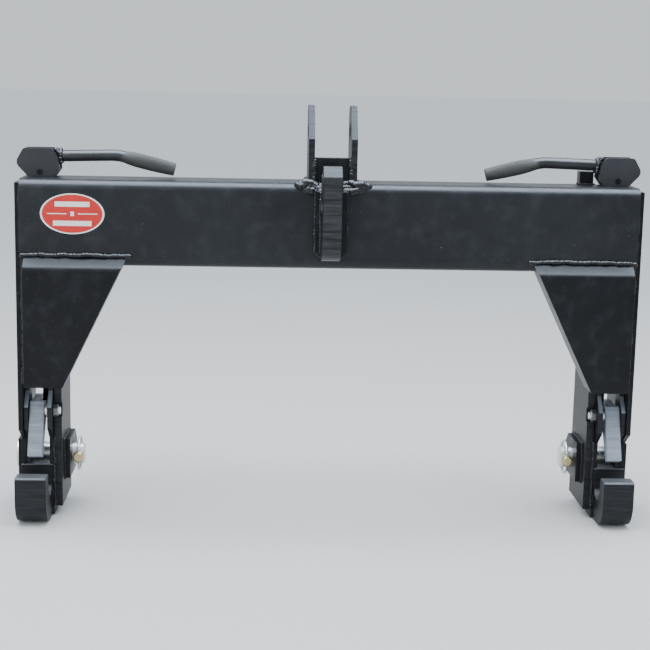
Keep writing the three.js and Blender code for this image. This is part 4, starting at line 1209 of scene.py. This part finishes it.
    def hook_beads(self, sizes):
        """Beads that hold the top hook, its backing block, the cross plate and the stop."""
        low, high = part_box("top_hook_backing")
        hook_low, hook_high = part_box("top_hook")
        beam_low, beam_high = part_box("beam_tube")
        plate_low, plate_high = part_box("mast_cross_plate")
        stop_low, stop_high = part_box("lever_stop_right")
        cut = 0.012
        front, back, head = low.y + 0.0005, beam_low.y - 0.0005, high.z - RUN_OUT
        sides = [upright(x, front, low.z + cut, head) for x in (hook_low.x, hook_high.x)]
        weld("top_hook_weld", ROOT, sides, sizes.heavy * 0.9, HOOK_SEED)
        rim = [(low.x, back, head), (low.x, back, low.z + cut), (low.x + cut, back, low.z),
               (high.x - cut, back, low.z), (high.x, back, low.z + cut), (high.x, back, head)]
        weld("backing_weld", ROOT, [rim], sizes.heavy * 0.9, HOOK_SEED + 1)
        foot = [(plate_low.x + RUN_OUT, plate_low.y, beam_high.z),
                (plate_high.x - RUN_OUT, plate_low.y, beam_high.z)]
        weld("cross_plate_foot_weld", ROOT, [foot], sizes.fillet, HOOK_SEED + 2)
        left, right, rear = stop_low.x, stop_high.x, stop_high.y - 0.003
        base = [(left, stop_low.y), (right, stop_low.y), (right, rear), (left, rear), (left, stop_low.y)]
        base = [(x, y, beam_high.z) for x, y in base]
        weld("stop_weld", ROOT, [base], sizes.fillet * 0.8, HOOK_SEED + 3)


class HITCH_OT_stage(bpy.types.Operator):
    """Set up the floor, the lights and the camera"""

    bl_idname = "hitch.stage"
    bl_label = "Stage"

    def execute(self, context):
        """Makes everything that isn't part of the hitch."""
        stage = context.scene.hitch_stage
        self.floor(stage)
        self.sky(context, stage)
        self.area("Top light", (0.0, -0.35, 2.4), (0.0, -0.05, 0.3), (3.2, 2.0), stage.top_power)
        glow = self.area("Sky card", (0.0, -0.3, 2.6), (0.0, -0.1, 0.3), (4.0, 2.2), stage.card_power)
        glow.data.color = stage.card_colour
        glow.visible_diffuse = False
        self.area("Front light", (-1.6, -3.0, 1.6), (0.0, 0.0, 0.25), (2.4, 2.4), stage.front_power)
        self.camera(context, stage)
        return {"FINISHED"}

    def floor(self, stage):
        """A plain pale floor under the hitch."""
        level = CAD_BOX[0][2] - 0.002
        half = 30.0
        mesh = bpy.data.meshes.new("Floor")
        corners = [(-half, -half, level), (half, -half, level), (half, half, level), (-half, half, level)]
        mesh.from_pydata(corners, [], [(0, 1, 2, 3)])
        floor = new_object("Floor", mesh)
        look = Shader("Floor", Specular_IOR_Level=0.0)
        colour = stage.floor_colour
        cloud = look.noise(1.5, 2.0)
        shade_of = look.mixed(look.between(cloud, 0.3, 0.7), opaque(colour, 0.985), opaque(colour))
        mesh.materials.append(look.surface_is(Base_Color=shade_of, Roughness=0.9))

    def sky(self, context, stage):
        """Even light from all round."""
        world = bpy.data.worlds.new("Sky")
        world.use_nodes = True
        build = NodeBuilder(world.node_tree)
        upward = build.parts(build.add("ShaderNodeTexCoord", output="Generated"))[2]
        rise = build.add("ShaderNodeMapRange", {0: upward, 1: 0.15, 2: 0.8})
        horizon, zenith = opaque(stage.horizon_colour), opaque(stage.sky_colour)
        blend = build.add("ShaderNodeMix", {0: rise, 6: horizon, 7: zenith}, 2, data_type="RGBA")
        background = world.node_tree.nodes["Background"]
        build.put(background, 0, blend)
        build.put(background, 1, stage.sky_strength)
        context.scene.world = world

    def area(self, name, place, target, size, power):
        """A soft rectangular light that looks at a point."""
        light = bpy.data.lights.new(name, "AREA")
        light.shape = "RECTANGLE"
        light.size, light.size_y = size
        light.energy = power
        lamp = bpy.data.objects.new(name, light)
        lamp.location = place
        direction = Vector(target) - Vector(place)
        lamp.rotation_euler = direction.to_track_quat("-Z", "Y").to_euler()
        bpy.context.scene.collection.objects.link(lamp)
        return lamp

    def camera(self, context, stage):
        """The camera at its measured place."""
        ahead = Vector((math.sin(stage.yaw) * math.cos(stage.pitch),
                        math.cos(stage.yaw) * math.cos(stage.pitch), -math.sin(stage.pitch)))
        right = Vector((math.cos(stage.yaw), -math.sin(stage.yaw), 0.0))
        up = right.cross(ahead)
        across = right * math.cos(stage.roll) + up * math.sin(stage.roll)
        upward = up * math.cos(stage.roll) - right * math.sin(stage.roll)
        lens = bpy.data.cameras.new("Camera")
        lens.lens = stage.lens
        lens.sensor_width = 36.0
        camera = bpy.data.objects.new("Camera", lens)
        camera.matrix_world = (Matrix.Translation(Vector(stage.eye))
                               @ Matrix((across, upward, -ahead)).transposed().to_4x4())
        context.scene.collection.objects.link(camera)
        context.scene.camera = camera


class HITCH_PT_panel(bpy.types.Panel):
    """Sidebar panel that lists the hitch's operators and settings"""

    bl_idname = "HITCH_PT_panel"
    bl_label = "Quick Hitch"
    bl_space_type = "VIEW_3D"
    bl_region_type = "UI"
    bl_category = "Quick Hitch"

    def draw(self, context):
        """Lists the settings, then the operators."""
        for group in SETTINGS:
            box = self.layout.box()
            settings = getattr(context.scene, group)
            for name in settings.bl_rna.properties.keys():
                if name not in {"rna_type", "name"}:
                    box.prop(settings, name)
        for operator in OPERATORS:
            self.layout.operator(operator.bl_idname)


SETTINGS = {
    "hitch_finishes": HITCH_PG_finishes,
    "hitch_welds": HITCH_PG_welds,
    "hitch_cuts": HITCH_PG_cuts,
    "hitch_springs": HITCH_PG_springs,
    "hitch_stage": HITCH_PG_stage,
}
OPERATORS = (
    HITCH_OT_frame,
    HITCH_OT_hoods,
    HITCH_OT_hooks,
    HITCH_OT_mast,
    HITCH_OT_latches,
    HITCH_OT_release,
    HITCH_OT_levers,
    HITCH_OT_pins,
    HITCH_OT_label,
    HITCH_OT_welds,
    HITCH_OT_stage,
)


def register():
    """Adds the settings, operators and panel to Blender."""
    for name, group in SETTINGS.items():
        bpy.utils.register_class(group)
        setattr(bpy.types.Scene, name, PointerProperty(type=group))
    for operator in OPERATORS:
        bpy.utils.register_class(operator)
    bpy.utils.register_class(HITCH_PT_panel)


def unregister():
    """Takes them out again."""
    bpy.utils.unregister_class(HITCH_PT_panel)
    for operator in reversed(OPERATORS):
        bpy.utils.unregister_class(operator)
    for name, group in SETTINGS.items():
        delattr(bpy.types.Scene, name)
        bpy.utils.unregister_class(group)


def main():
    """Builds the finished hitch and its stage."""
    register()
    for operator in OPERATORS:
        group, action = operator.bl_idname.split(".")
        getattr(getattr(bpy.ops, group), action)()


if __name__ == "__main__":
    main()
